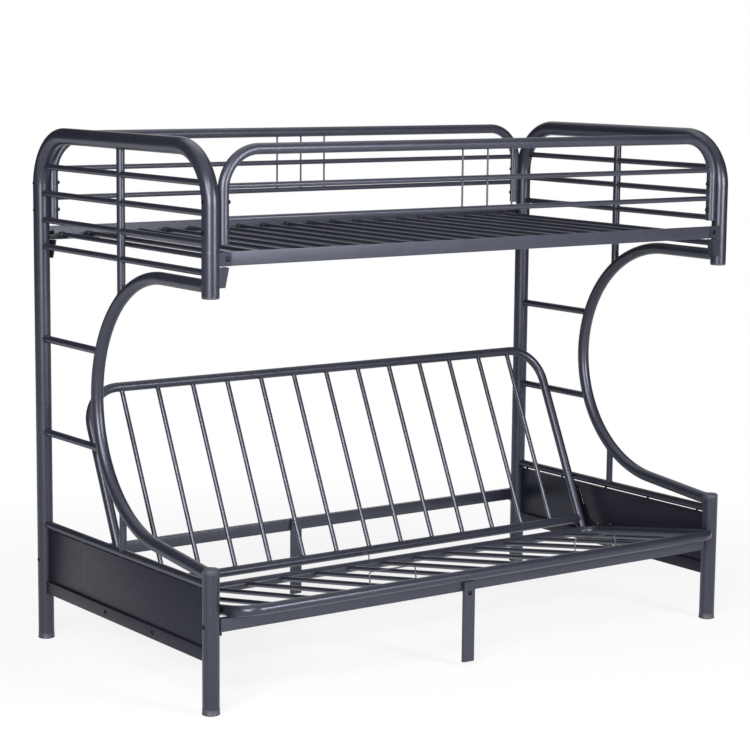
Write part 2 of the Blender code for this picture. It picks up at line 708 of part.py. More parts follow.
def build_lower_posts(side, end, material):
    """The back post up to its joint and the short front post, each on its foot cap."""
    back = [yz(BACK_Y, POST_BASE), yz(BACK_Y, BACK_POST_JOINT_HEIGHT)]
    front = [yz(0, POST_BASE), yz(0, FRONT_POST_TUBE_TOP)]
    for name, path in (("back_post", back), ("front_post", front)):
        add_object(f"{side}_{name}", tube(name, path, POST_DIAMETER, POST_SIDES), end, material)


def build_side_panel(side, end, material):
    """The panel between the lower posts: a sheet between two rails, tacked to the upper one."""
    top_rail = [yz(0, PANEL_TOP_RAIL_Z), yz(BACK_Y, PANEL_TOP_RAIL_Z)]
    mesh = tube("panel_top_rail", top_rail, PANEL_TOP_RAIL_DIAMETER)
    panel = add_object(f"{side}_side_panel", mesh, end, material)
    half_sheet = PANEL_SHEET_THICKNESS / 2
    half_rail = PANEL_BOTTOM_RAIL_DEPTH / 2
    rail_top = PANEL_BOTTOM + PANEL_BOTTOM_RAIL_HEIGHT
    sheet = block("sheet", (-half_sheet, 0, PANEL_BOLT_Z), (half_sheet, BACK_Y, PANEL_SHEET_TOP))
    bottom = block("rail", (-half_rail, 0, PANEL_BOTTOM), (half_rail, BACK_Y, rail_top))
    join(panel, bottom, sheet)
    for share in PANEL_TAB_SHARES:
        start = share * BACK_Y - PANEL_TAB_WIDTH / 2
        low = (-half_sheet, start, PANEL_SHEET_TOP - PANEL_SLIT_HEIGHT)
        high = (half_sheet, start + PANEL_TAB_WIDTH, PANEL_TOP_RAIL_Z)
        join(panel, block("tab", low, high))
    carve(panel, lower_post_cutters())


def build_post_ends(side, end, material):
    """The plastic foot caps, the domed cap of the lower front post and the upper post's plug."""
    for name, depth in (("front_foot_cap", 0), ("back_foot_cap", BACK_Y)):
        flared = POST_DIAMETER + FOOT_CAP_FLARE + FOOT_CAP_FLARE
        profile = [
            (yz(depth, 0), POST_DIAMETER),
            (yz(depth, FOOT_CAP_FLARE), flared),
            (yz(depth, FOOT_CAP_HEIGHT - FOOT_CAP_FLARE), flared),
            (yz(depth, FOOT_CAP_HEIGHT), POST_DIAMETER),
        ]
        mesh = turned(name, profile, ALONG_Z, ALONG_X, POST_SIDES)
        add_object(f"{side}_{name}", mesh, end, material)
    base = FRONT_POST_TUBE_TOP + FIT_GAP
    dome_height = LOWER_FRONT_POST_TOP - base
    dome = [(yz(0, base), POST_DIAMETER)]
    for width_share, height_share in DOME_SHARES:
        dome.append((yz(0, base + dome_height * height_share), POST_DIAMETER * width_share))
    cap = turned("front_post_cap", dome, ALONG_Z, ALONG_X, POST_SIDES)
    add_object(f"{side}_front_post_cap", cap, end, material)
    plug = [yz(0, UPPER_FRONT_POST_END), yz(0, UPPER_FRONT_POST_END + POST_PLUG_THICKNESS)]
    mesh = tube("front_post_plug", plug, POST_DIAMETER, POST_SIDES)
    add_object(f"{side}_front_post_plug", mesh, end, material)


# Width and height of the domed cap at each ring, as shares of the post and of the cap
DOME_SHARES = ((1.0, 0.45), (0.94, 0.70), (0.78, 0.88), (0.50, 1.0))


# Rails and the bunk's deck


def build_upper_side_rails(bed, material):
    """The two angle rails that hold the deck, each with a leg inwards under the slats."""
    for name, depth, inward in (("front", 0, 1), ("rear", BACK_Y, -1)):
        start = depth + inward * (FIT_GAP - RAIL_PLANE_DEPTH)
        thick = inward * SIDE_RAIL_THICKNESS
        ledge = SIDE_RAIL_BOTTOM + SIDE_RAIL_THICKNESS
        section = (
            (start, SIDE_RAIL_BOTTOM),
            (start + inward * SIDE_RAIL_LEG, SIDE_RAIL_BOTTOM),
            (start + inward * SIDE_RAIL_LEG, ledge),
            (start + thick, ledge),
            (start + thick, SIDE_RAIL_TOP),
            (start, SIDE_RAIL_TOP),
        )
        outline = [Vector((-SIDE_RAIL_HALF_LENGTH, y, z)) for y, z in section]
        length = SIDE_RAIL_HALF_LENGTH + SIDE_RAIL_HALF_LENGTH
        mesh = prism(f"{name}_rail", outline, ALONG_X, length)
        add_object(f"{name}_upper_side_rail", mesh, bed, material)


def build_deck_slats(bed, material):
    """The round slats of the bunk, each plugged into a plastic holder at both rails."""
    margin = FIT_GAP + SIDE_RAIL_THICKNESS + FIT_GAP - RAIL_PLANE_DEPTH
    places = (margin, margin + SLAT_PLUG_LENGTH)
    mirrored = [BACK_Y - place for place in reversed(places)]
    profile = [
        (yz(places[0], 0), SLAT_PLUG_DIAMETER),
        (yz(places[1], 0), SLAT_PLUG_DIAMETER),
        (yz(places[1], 0), DECK_SLAT_DIAMETER),
        (yz(mirrored[0], 0), DECK_SLAT_DIAMETER),
        (yz(mirrored[0], 0), SLAT_PLUG_DIAMETER),
        (yz(mirrored[1], 0), SLAT_PLUG_DIAMETER),
    ]
    mesh = turned("deck_slat", profile, ALONG_Y, ALONG_X, SLAT_SIDES)
    mesh.materials.append(material)
    for index, x in enumerate(evenly(DECK_SLAT_REACH, DECK_SLAT_COUNT)):
        add_copy(f"deck_slat_{index + 1:02d}", mesh, bed, (x, 0, SLAT_HEIGHT))


def add_copy(name, mesh, parent, location):
    """One more object of a mesh that others use too."""
    obj = bpy.data.objects.new(name, mesh)
    obj.location = location
    obj.parent = parent
    bpy.context.scene.collection.objects.link(obj)
    return obj


def build_guard_rails(bed, material):
    """The front and rear guard rails: a hoop with two long bars and three wires."""
    for name, depth in (("front", 0), ("rear", BACK_Y)):
        corners = [
            Vector((-GUARD_LEG_X, depth, GUARD_RAIL_FOOT_HEIGHT)),
            Vector((-GUARD_LEG_X, depth, GUARD_RAIL_TOP_HEIGHT)),
            Vector((GUARD_LEG_X, depth, GUARD_RAIL_TOP_HEIGHT)),
            Vector((GUARD_LEG_X, depth, GUARD_RAIL_FOOT_HEIGHT)),
        ]
        path = rounded_path(corners, GUARD_RAIL_BEND_RADIUS, TUBE_BEND_STEPS)
        mesh = tube("guard_hoop", path, GUARD_RAIL_DIAMETER, normal=ALONG_Y)
        rail = add_object(f"{name}_guard_rail", mesh, bed, material)
        bars = []
        for share in GUARD_BAR_SHARES:
            bar = GUARD_RAIL_FOOT_HEIGHT + GUARD_LEG_LENGTH * share
            bars.append([Vector((x, depth, bar)) for x in (-GUARD_LEG_X, GUARD_LEG_X)])
        join(rail, tubes("guard_bars", bars, GUARD_BAR_DIAMETER, SLAT_SIDES, ALONG_Y))
        wires = []
        wire_reach = GUARD_WIRE_PITCH * (GUARD_WIRE_COUNT - 1) / 2
        for x in evenly(wire_reach, GUARD_WIRE_COUNT):
            wires.append([Vector((x, depth, height)) for height in (bar, GUARD_RAIL_TOP_HEIGHT)])
        join(rail, tubes("guard_wires", wires, GUARD_WIRE_DIAMETER, WIRE_SIDES, ALONG_Y))


def build_lower_rails(bed, material):
    """The two rectangular rails that tie the end frames together under the sofa."""
    for name, depth in (("front", 0), ("rear", BACK_Y)):
        half = LOWER_RAIL_DEPTH / 2
        bottom = LOWER_RAIL_TOP - LOWER_RAIL_HEIGHT
        length = LOWER_RAIL_HALF_LENGTH
        low = (-length, depth - half, bottom)
        high = (length, depth + half, LOWER_RAIL_TOP)
        rail = add_object(f"{name}_lower_rail", block("lower_rail", low, high), bed, material)
        bevel = rail.modifiers.new("edge", "BEVEL")
        bevel.width = LOWER_RAIL_EDGE
        bevel.segments = 2


def build_centre_legs(bed, material):
    """The middle leg of each lower rail, bolted to the rail's front face."""
    places = (
        ("front", 0, FRONT_LEG_X, LOWER_RAIL_TOP - FRONT_LEG_TOP_DROP),
        ("rear", BACK_Y, BACK_LEG_X, LOWER_RAIL_TOP + BACK_LEG_TOP_RISE),
    )
    for name, depth, middle, top in places:
        rear_face = depth - LOWER_RAIL_DEPTH / 2 - FIT_GAP
        half = LEG_WIDTH / 2
        low = (middle - half, rear_face - LEG_DEPTH, LEG_FOOT_HEIGHT)
        high = (middle + half, rear_face, top)
        leg = add_object(f"{name}_centre_leg", block("leg", low, high), bed, material)
        flare = LEG_FOOT_FLARE
        foot_low = (low[0] - flare, low[1] - flare, 0)
        foot_high = (high[0] + flare, high[1] + flare, LEG_FOOT_HEIGHT + flare)
        join(leg, block("leg_foot", foot_low, foot_high))


# Sofa, modelled flat with its pivot at the origin and the front at -Y


def sofa_slat_paths(near, far, height):
    """The slats' straight paths between two tubes, evenly spaced about the middle."""
    places = evenly(SOFA_SLAT_REACH, SOFA_SLAT_COUNT)
    return [[Vector((x, near, height)), Vector((x, far, height))] for x in places]


def retainer_path(middle):
    """The wire hoop on the seat's front tube that stops the mattress from sliding off."""
    foot = -SEAT_DROP
    top = foot + SEAT_TUBE_RADIUS + RETAINER_HEIGHT
    half = RETAINER_WIDTH / 2
    corners = [
        Vector((middle - half, -SEAT_FRONT_SETBACK, foot)),
        Vector((middle - half, -SEAT_FRONT_SETBACK, top)),
        Vector((middle + half, -SEAT_FRONT_SETBACK, top)),
        Vector((middle + half, -SEAT_FRONT_SETBACK, foot)),
    ]
    return rounded_path(corners, RETAINER_BEND_RADIUS, TUBE_BEND_STEPS // 2)


def hook_path():
    """The small wire hook at the middle of the seat's rear tube."""
    foot = -SEAT_DROP
    top = foot + SEAT_TUBE_RADIUS + HOOK_HEIGHT
    corners = [
        Vector((0, -SEAT_REAR_SETBACK, foot)),
        Vector((0, -SEAT_REAR_SETBACK, top)),
        Vector((-HOOK_REACH, -SEAT_REAR_SETBACK, top)),
    ]
    return rounded_path(corners, HOOK_BEND_RADIUS, TUBE_BEND_STEPS // 2)


def hinge_plate_outline():
    """The seat's hinge plate: a hollow-edged gusset beside the back, and a strip to the front."""
    quarter = math.pi / 2
    radius = HINGE_PLATE_END_RADIUS
    outline = arc(Vector(), ALONG_Y, ALONG_Z, radius, -quarter, 0, TUBE_BEND_STEPS)
    outline.append(yz(HINGE_GUSSET_TOP_REAR, HINGE_GUSSET_HEIGHT))
    span = HINGE_GUSSET_REACH - HINGE_GUSSET_TOP_FRONT
    for step in range(TUBE_BEND_STEPS + 1):
        angle = quarter * step / TUBE_BEND_STEPS
        y = -HINGE_GUSSET_REACH + span * math.cos(angle)
        outline.append(yz(y, HINGE_GUSSET_HEIGHT * (1 - math.sin(angle))))
    toe = yz(-HINGE_PLATE_LENGTH, -SEAT_DROP)
    outline += arc(toe, -ALONG_Y, -ALONG_Z, radius, -quarter, quarter, TUBE_BEND_STEPS)
    return outline


def build_seat(pivot, material):
    """The seat: a closed tube loop with slats, mattress wires and a hinge plate at each side."""
    corners = [
        Vector((-SEAT_HALF_WIDTH, -SEAT_REAR_SETBACK, -SEAT_DROP)),
        Vector((-SEAT_HALF_WIDTH, -SEAT_FRONT_SETBACK, -SEAT_DROP)),
        Vector((SEAT_HALF_WIDTH, -SEAT_FRONT_SETBACK, -SEAT_DROP)),
        Vector((SEAT_HALF_WIDTH, -SEAT_REAR_SETBACK, -SEAT_DROP)),
    ]
    loop = rounded_path(corners, SEAT_CORNER_RADIUS, TUBE_BEND_STEPS, closed=True)
    mesh = tube("seat_loop", loop, SEAT_TUBE_DIAMETER, normal=ALONG_Z, closed=True)
    seat = add_object("seat_frame", mesh, pivot, material)
    seat.rotation_euler = (SEAT_ANGLE, 0, 0)
    slats = sofa_slat_paths(-SEAT_REAR_SETBACK, -SEAT_FRONT_SETBACK, -SEAT_DROP)
    join(seat, tubes("seat_slats", slats, SOFA_SLAT_DIAMETER, SLAT_SIDES))
    retainers = [retainer_path(middle) for middle in (-RETAINER_OFFSET, RETAINER_OFFSET)]
    join(seat, tubes("retainers", retainers, RETAINER_WIRE_DIAMETER, WIRE_SIDES, ALONG_Y))
    join(seat, tube("hook", hook_path(), RETAINER_WIRE_DIAMETER, WIRE_SIDES, ALONG_Y))
    for side in (-1, 1):
        x_from = side * (END_X - HINGE_PLATE_INNER)
        x_to = side * (END_X - HINGE_PLATE_OUTER)
        outline = [point + ALONG_X * x_from for point in hinge_plate_outline()]
        join(seat, prism("hinge_plate", outline, ALONG_X, x_to - x_from))
        middle = (x_from + x_to) / 2
        reach = side * HINGE_PLATE_THICKNESS
        hole = PIVOT_HOLE_DIAMETER
        carve(seat, cross_rod("hole", Vector(), hole, middle - reach, middle + reach, POST_SIDES))


def build_back(pivot, material):
    """The back: a hoop closed by a bottom tube, with slats, hung on the pivot pins."""
    tail = -BACK_TUBE_TAIL
    corners = [
        Vector((-BACK_HALF_WIDTH, tail, 0)),
        Vector((-BACK_HALF_WIDTH, BACK_TOP_SETBACK, 0)),
        Vector((BACK_HALF_WIDTH, BACK_TOP_SETBACK, 0)),
        Vector((BACK_HALF_WIDTH, tail, 0)),
    ]
    path = rounded_path(corners, BACK_CORNER_RADIUS, TUBE_BEND_STEPS)
    mesh = tube("back_hoop", path, BACK_TUBE_DIAMETER, normal=ALONG_Z)
    back = add_object("back_frame", mesh, pivot, material)
    back.rotation_euler = (BACK_ANGLE, 0, 0)
    ends = [Vector((x, BACK_BOTTOM_SETBACK, 0)) for x in (-BACK_HALF_WIDTH, BACK_HALF_WIDTH)]
    join(back, tube("bottom_tube", ends, BACK_TUBE_DIAMETER, normal=ALONG_Z))
    slats = sofa_slat_paths(BACK_BOTTOM_SETBACK, BACK_TOP_SETBACK, 0)
    join(back, tubes("back_slats", slats, SOFA_SLAT_DIAMETER, SLAT_SIDES))
    for side in (-1, 1):
        x_from = side * (BACK_HALF_WIDTH - BACK_TUBE_DIAMETER)
        x_to = side * (BACK_HALF_WIDTH + BACK_TUBE_DIAMETER)
        carve(back, cross_rod("hole", Vector(), PIVOT_HOLE_DIAMETER, x_from, x_to, POST_SIDES))


# Folding gear, modelled about each end's plane of posts


def build_back_link(side, end, inward, material):
    """The flat bar outside the back's side tube, from the pivot to a bolt farther up."""
    along = Vector((0, math.cos(BACK_ANGLE), math.sin(BACK_ANGLE)))
    far = SOFA_PIVOT + along * BACK_LINK_LENGTH
    x_from = inward * BACK_LINK_OUTER
    x_to = inward * BACK_LINK_INNER
    radius = BACK_LINK_END_RADIUS
    mesh = link_plate("back_link", Vector(), far - SOFA_PIVOT, radius, x_from, x_to)
    link = add_object(f"{side}_back_link", mesh, end, material, SOFA_PIVOT)
    boss_end = inward * (BACK_TUBE_OUTER - FIT_GAP)
    middle = (x_from + x_to) / 2
    boss = cross_rod("boss", far - SOFA_PIVOT, BACK_LINK_BOSS_DIAMETER, middle, boss_end)
    join(link, boss)
    reach = inward * HINGE_PLATE_THICKNESS
    hole = PIVOT_HOLE_DIAMETER
    carve(link, cross_rod("hole", Vector(), hole, middle - reach, middle + reach, POST_SIDES))


def build_swing_link(side, end, inward, material):
    """The bar that carries the pivot, hung on the bracket's stud inside the side panel."""
    x_from = inward * SWING_LINK_OUTER
    x_to = inward * SWING_LINK_INNER
    pivot = SOFA_PIVOT - ANCHOR
    mesh = link_plate("swing_link", Vector(), pivot, SWING_LINK_END_RADIUS, x_from, x_to)
    link = add_object(f"{side}_swing_link", mesh, end, material, ANCHOR)
    middle = (x_from + x_to) / 2
    reach = inward * SWING_LINK_THICKNESS
    stud_hole = ANCHOR_STUD_DIAMETER + PIVOT_HOLE_CLEARANCE + PIVOT_HOLE_CLEARANCE
    for centre, hole in ((Vector(), stud_hole), (pivot, PIVOT_HOLE_DIAMETER)):
        carve(link, cross_rod("hole", centre, hole, middle - reach, middle + reach, POST_SIDES))


def build_pivot_pin(side, end, inward, material):
    """The headed pin on which the seat, the back and the links turn."""
    inner_face = BACK_TUBE_INNER + FIT_GAP
    places = (
        (PIVOT_HEAD_OUTER, PIVOT_HEAD_DIAMETER),
        (PIVOT_HEAD_OUTER + PIVOT_HEAD_THICKNESS, PIVOT_HEAD_DIAMETER),
        (PIVOT_HEAD_OUTER + PIVOT_HEAD_THICKNESS, PIVOT_PIN_DIAMETER),
        (inner_face, PIVOT_PIN_DIAMETER),
        (inner_face, PIVOT_HEAD_DIAMETER),
        (inner_face + PIVOT_HEAD_THICKNESS, PIVOT_HEAD_DIAMETER),
    )
    profile = [(Vector((inward * place, 0, 0)), diameter) for place, diameter in places]
    mesh = turned("pivot_pin", profile, ALONG_X, ALONG_Y, POST_SIDES)
    add_object(f"{side}_pivot_pin", mesh, end, material, SOFA_PIVOT)


def stop_peg_centre(pivot, reach, turn):
    """Axis of the peg that the swing link meets when the pivot is at the given place."""
    along = (pivot - ANCHOR).normalized()
    sideways = ALONG_X.cross(along) * turn
    offset = SWING_LINK_END_RADIUS + STOP_PEG_DIAMETER / 2 + FIT_GAP
    return ANCHOR + along * reach + sideways * offset


def build_swing_bracket(side, end, inward, material):
    """The plate inside the panel's bottom rail, with the link's stud and its two stops."""
    front, rear = [yz(BACK_Y * share, PANEL_BOLT_Z) for share in SWING_BRACKET_BOLT_SHARES]
    outer = inward * SWING_BRACKET_OUTER
    inner = inward * SWING_BRACKET_INNER
    mesh = link_plate("bracket", front, rear, SWING_BRACKET_END_RADIUS, outer, inner)
    bracket = add_object(f"{side}_swing_bracket", mesh, end, material)
    stud_end = SWING_LINK_INNER + FIT_GAP
    places = (
        ((SWING_BRACKET_OUTER + SWING_BRACKET_INNER) / 2, ANCHOR_HEAD_DIAMETER),
        (SWING_LINK_OUTER - FIT_GAP, ANCHOR_HEAD_DIAMETER),
        (SWING_LINK_OUTER - FIT_GAP, ANCHOR_STUD_DIAMETER),
        (stud_end, ANCHOR_STUD_DIAMETER),
        (stud_end, ANCHOR_HEAD_DIAMETER),
        (stud_end + ANCHOR_HEAD_THICKNESS, ANCHOR_HEAD_DIAMETER),
    )
    profile = [(Vector((inward * place, 0, 0)) + ANCHOR, size) for place, size in places]
    join(bracket, turned("stud", profile, ALONG_X, ALONG_Y, POST_SIDES))
    peg_start = (outer + inner) / 2
    peg_end = inward * SWING_LINK_INNER
    stops = ((SOFA_PIVOT, SOFA_STOP_REACH, -1), (BED_PIVOT, BED_STOP_REACH, 1))
    for pivot, reach, turn in stops:
        centre = stop_peg_centre(pivot, reach, turn)
        join(bracket, cross_rod("peg", centre, STOP_PEG_DIAMETER, peg_start, peg_end))


def build_end(side, sign, bed, materials):
    """One end of the bed with the folding gear on it."""
    inward = -sign
    end = add_empty(f"{side}_end", bed, (sign * END_X, 0, 0))
    steel = materials["frame"]
    build_upper_hoop(side, end, inward, steel)
    build_guard_grid(side, end, steel)
    build_upper_step_frame(side, end, steel)
    build_lower_step_frame(side, end, steel)
    build_lower_posts(side, end, steel)
    build_side_panel(side, end, materials["panel"])
    build_post_ends(side, end, materials["plastic"])
    build_swing_bracket(side, end, inward, materials["gear"])
    build_swing_link(side, end, inward, materials["gear"])
    build_back_link(side, end, inward, materials["gear"])
    build_pivot_pin(side, end, inward, materials["pin"])


def build_bed():
    """The whole bed, standing as a sofa under the bunk."""
    clear_scene()
    materials = {
        "frame": make_material("frame_steel", (0.085, 0.086, 0.102), 0.42, 0.35),
        "panel": make_material("panel_steel", (0.090, 0.091, 0.108), 0.46, 0.30),
        "rail": make_material("rail_steel", (0.095, 0.096, 0.112), 0.40, 0.35),
        "slat": make_material("slat_steel", (0.080, 0.081, 0.096), 0.38, 0.35),
        "sofa": make_material("sofa_steel", (0.085, 0.087, 0.103), 0.36, 0.40),
        "gear": make_material("gear_steel", (0.060, 0.061, 0.070), 0.45, 0.50),
        "pin": make_material("pin_steel", (0.300, 0.300, 0.310), 0.35, 0.90),
        "plastic": make_material("cap_plastic", (0.030, 0.030, 0.033), 0.55, 0.0),
    }
    bed = add_empty("bed", None, (0, FRONT_POST_Y, 0))
    build_end("left", -1, bed, materials)
    build_end("right", 1, bed, materials)
    build_upper_side_rails(bed, materials["rail"])
    build_deck_slats(bed, materials["slat"])
    build_guard_rails(bed, materials["rail"])
    build_lower_rails(bed, materials["rail"])
    build_centre_legs(bed, materials["rail"])
    pivot = add_empty("sofa_pivot", bed, SOFA_PIVOT)
    build_seat(pivot, materials["sofa"])
    build_back(pivot, materials["sofa"])


build_bed()
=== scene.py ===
"""Looks of the metal futon bunk bed: powder-coated tubes, welds, bolts and moulded caps.

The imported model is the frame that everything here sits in. Each class is one sub-assembly:
its fields are sizes in metres, and its methods build the meshes, dress them and say which
nodes they stand for. Depths are measured back from the axis of the front posts, and every
piece is moved to the frame's own place at the end.
"""

import json
import logging
import math
from collections.abc import Sequence
from dataclasses import dataclass
from enum import Enum

import bmesh
import bpy
from mathutils import Matrix, Vector


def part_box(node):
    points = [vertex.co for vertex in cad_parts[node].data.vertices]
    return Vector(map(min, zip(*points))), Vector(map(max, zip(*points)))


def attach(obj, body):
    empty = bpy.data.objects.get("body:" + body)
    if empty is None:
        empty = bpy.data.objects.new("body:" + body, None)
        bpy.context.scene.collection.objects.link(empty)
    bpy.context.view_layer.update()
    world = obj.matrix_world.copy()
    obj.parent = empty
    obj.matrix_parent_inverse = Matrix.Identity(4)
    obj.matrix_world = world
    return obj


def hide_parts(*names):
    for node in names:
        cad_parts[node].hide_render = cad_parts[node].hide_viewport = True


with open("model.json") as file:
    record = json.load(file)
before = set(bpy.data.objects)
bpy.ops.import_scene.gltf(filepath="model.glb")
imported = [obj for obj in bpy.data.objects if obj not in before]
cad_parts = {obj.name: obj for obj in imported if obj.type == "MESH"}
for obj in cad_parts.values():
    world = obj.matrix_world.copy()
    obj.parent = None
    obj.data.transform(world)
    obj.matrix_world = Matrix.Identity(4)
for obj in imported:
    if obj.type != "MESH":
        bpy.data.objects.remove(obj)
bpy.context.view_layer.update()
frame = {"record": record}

log = logging.getLogger("futon_bunk")

ALONG_X = Vector((1, 0, 0))
ALONG_Y = Vector((0, 1, 0))
ALONG_Z = Vector((0, 0, 1))

QUARTER = math.pi / 2
SMOOTH_ANGLE = math.radians(34)
SHARP_ANGLE = math.radians(50)

Mesh = bpy.types.Mesh
Material = bpy.types.Material
Socket = bpy.types.NodeSocket
Tree = bpy.types.NodeTree
Path = list[Vector]
Pair = tuple[float, float]
Colour = tuple[float, float, float]


class Half(Enum):
    """Two mirrored halves of the bed, each with its sign away from the middle."""

    @property
    def word(self) -> str:
        """The half's word in the names of pieces and nodes."""
        return self.name.lower()

    @property
    def inward(self) -> int:
        """Sign towards the middle of the bed."""
        return -self.value


class Side(Half):
    """The two ends of the bed, each with its sign along X."""

    LEFT = -1
    RIGHT = 1


class Row(Half):
    """The front and the rear row of posts, each with its sign along Y."""

    FRONT = -1
    REAR = 1


class Head(Enum):
    """Kinds of fastener head."""

    SOCKET = "socket_head"
    NUT = "dome_nut"
    RIVET = "rivet_head"


class Edge(Enum):
    """How sharp edges are softened: the width that is taken off, and its steps."""

    ROLLED = (0.0003, 1)
    SAWN = (0.0006, 1)
    MOULDED = (0.0008, 1)
    PUNCHED = (0.0006, 2)
    TUMBLED = (0.0007, 2)
    SHEARED = (0.0008, 2)
    FILED = (0.0010, 2)


class Weld(Enum):
    """Radius of each kind of weld bead."""

    WIRE = 0.0009
    SLAT = 0.0011
    BAR = 0.0013
    RUNG = 0.0014
    STEP = 0.0015
    TUBE = 0.0017
    BRACKET = 0.0022
    TACK = 0.0026


@dataclass(frozen=True)
class Round:
    """A round tube, bar or wire: its radius, and the faces that its mesh has round it."""

    radius: float
    sides: int


@dataclass(frozen=True)
class Stock:
    """The tubes, bars and wires that the bed is made of."""

    post: Round = Round(0.025, 56)
    step: Round = Round(0.019, 48)
    spigot: Round = Round(0.0178, 40)
    ladder_rung: Round = Round(0.0115, 28)
    guard_rung: Round = Round(0.0095, 28)
    upright: Round = Round(0.0125, 32)
    strut: Round = Round(0.011, 28)
    panel_rail: Round = Round(0.0125, 32)
    guard_rail: Round = Round(0.016, 40)
    guard_bar: Round = Round(0.008, 24)
    guard_wire: Round = Round(0.003, 14)
    deck_slat: Round = Round(0.00775, 24)
    seat: Round = Round(0.016, 40)
    back: Round = Round(0.015, 40)
    back_bottom: Round = Round(0.015, 36)
    sofa_slat: Round = Round(0.0075, 24)
    wire: Round = Round(0.0022, 14)
    plate_seam: Round = Round(0.0017, 8)
    # A thin strip of lighter steel along the flat bars' upper edge, standing for a painted
    # highlight.
    bright_edge: Round = Round(0.0010, 10)


STOCK = Stock()

# A welded tube counts as thinner than its host by at least this gap.
TANGENT_GAP = 0.0004

# The ripples of a bead are this many of its radii long.
RIPPLE_SHARE = 1.3


# Points and paths


def yz(y: float, z: float) -> Vector:
    """A point in the plane across X."""
    return Vector((0, y, z))


def shares(count: int) -> list[float]:
    """Even shares from zero to one."""
    return [step / count for step in range(count + 1)]


def spread(count: int, pitch: float) -> list[float]:
    """Places at an even pitch, the middle of them at zero."""
    first = -pitch * (count - 1) / 2
    return [first + pitch * index for index in range(count)]


def rings(base: float, radius: float, steps: Sequence[Pair]) -> list[Pair]:
    """Rings of a turned profile: each step is its distance past the base and its inset."""
    return [(base + rise, radius - inset) for rise, inset in steps]


def arc(centre: Vector, toward: Vector, across: Vector, radius: float, span: Pair,
        steps: int) -> Path:
    """Points on an arc in the plane of two unit directions.

    Args:
        centre: The arc's centre.
        toward: Direction of angle zero.
        across: Direction of a right angle.
        radius: The arc's radius.
        span: First and last angle in radians.
        steps: Number of steps between them.

    Returns:
        The points, both ends included.
    """
    start, end = span
    angles = [start + (end - start) * step / steps for step in range(steps + 1)]
    return [centre + radius * (toward * math.cos(a) + across * math.sin(a)) for a in angles]


def circle(centre: Vector, first: Vector, second: Vector, radius: float, count: int) -> Path:
    """Points round a circle in the plane of two unit directions."""
    return arc(centre, first, second, radius, (0, math.tau), count)[:-1]


def rounded_path(corners: Sequence[Vector], radius: float, closed: bool = False,
                 steps: int = 24) -> Path:
    """A path through corners whose bends are rounded.

    Args:
        corners: The corners in order.
        radius: Radius of every bend.
        closed: Whether the last corner leads back to the first.
        steps: Steps of each bend.

    Returns:
        The path's points.
    """
    path: Path = []
    last = len(corners) - 1
    for index, corner in enumerate(corners):
        if not closed and index in (0, last):
            path.append(corner.copy())
            continue
        arriving = (corner - corners[index - 1]).normalized()
        leaving = (corners[(index + 1) % len(corners)] - corner).normalized()
        turn = arriving.angle(leaving)
        inner = (leaving - arriving * arriving.dot(leaving)).normalized()
        start = corner - arriving * radius * math.tan(turn / 2)
        path += arc(start + inner * radius, -inner, arriving, radius, (0, turn), steps)
    return path


def rounded_section(centre: Vector, first: Vector, second: Vector, size: Pair,
                    corner: float) -> Path:
    """Outline of a rectangular tube's section with round corners.

    Args:
        centre: Middle of the section.
        first: Unit direction of the first side.
        second: Unit direction of the second side.
        size: Full lengths along both directions.
        corner: Radius of the corners.

    Returns:
        The outline in order.
    """
    corners = [centre + first * (a * size[0] / 2) + second * (b * size[1] / 2)
               for a, b in ((1, 1), (-1, 1), (-1, -1), (1, -1))]
    return rounded_path(corners, corner, closed=True, steps=5)


def round_bar_outline(start: Vector, end: Vector, radius: float) -> Path:
    """Outline of a flat bar with round ends, in a plane across X."""
    along = (end - start).normalized()
    across = ALONG_X.cross(along)
    outline = arc(end, along, across, radius, (-QUARTER, QUARTER), 16)
    return outline + arc(start, -along, -across, radius, (-QUARTER, QUARTER), 16)


def hexagon(height: float, radius: float, count: int) -> Path:
    """Points round a hexagon across Z whose corners lie at a radius."""
    half = math.pi / 6
    line: Path = []
    for share in shares(count)[:-1]:
        angle = math.tau * share
        slant = (angle + half) % (2 * half) - half
        reach = radius * math.cos(half) / math.cos(slant)
        line.append(Vector((reach * math.cos(angle), reach * math.sin(angle), height)))
    return line


def bend_at(height: float, top: float, bend: float) -> Pair:
    """How far a hoop's axis lies inside its leg's at a height, and its lean in radians."""
    rise = max(height - top + bend, 0)
    return bend - math.sqrt(bend**2 - rise**2), math.asin(rise / bend)


def saddle(spot: Vector, along: Vector, thin: Round, host_along: Vector, host: Round,
           count: int = 28) -> Path:
    """The closed line where a tube meets the wall of another one.

    Args:
        spot: Where the axes of both tubes meet.
        along: Unit direction of the thin tube into the thick one.
        thin: The thin tube.
        host_along: Unit direction of the thick tube.
        host: The thick tube.
        count: Points on the line.

    Returns:
        Points round the joint.
    """
    radius = min(thin.radius, host.radius - TANGENT_GAP)
    side = along.cross(host_along).normalized()
    flat = along - host_along * along.dot(host_along)
    square = flat.dot(flat)
    line: Path = []
    for offset in circle(Vector(), side, side.cross(along), radius, count):
        gap = offset - host_along * offset.dot(host_along)
        half = gap.dot(flat)
        rest = half * half - square * (gap.dot(gap) - host.radius**2)
        travel = (-half - math.sqrt(max(rest, 0))) / square
        line.append(spot + offset + along * travel)
    return line


# Meshes made by hand


def bridge(work: bmesh.types.BMesh, loops: Sequence[Path]) -> list[bmesh.types.BMFace]:
    """Joins loops of equally many points by faces and closes both ends.

    Args:
        work: Takes the faces.
        loops: The points of each loop.

    Returns:
        The faces that close the ends.
    """
    verts = [[work.verts.new(point) for point in loop] for loop in loops]
    ends = [work.faces.new(verts[0]), work.faces.new(verts[-1])]
    for near, far in zip(verts, verts[1:]):
        for index in range(len(near)):
            after = (index + 1) % len(near)
            work.faces.new((near[index], near[after], far[after], far[index]))
    return ends


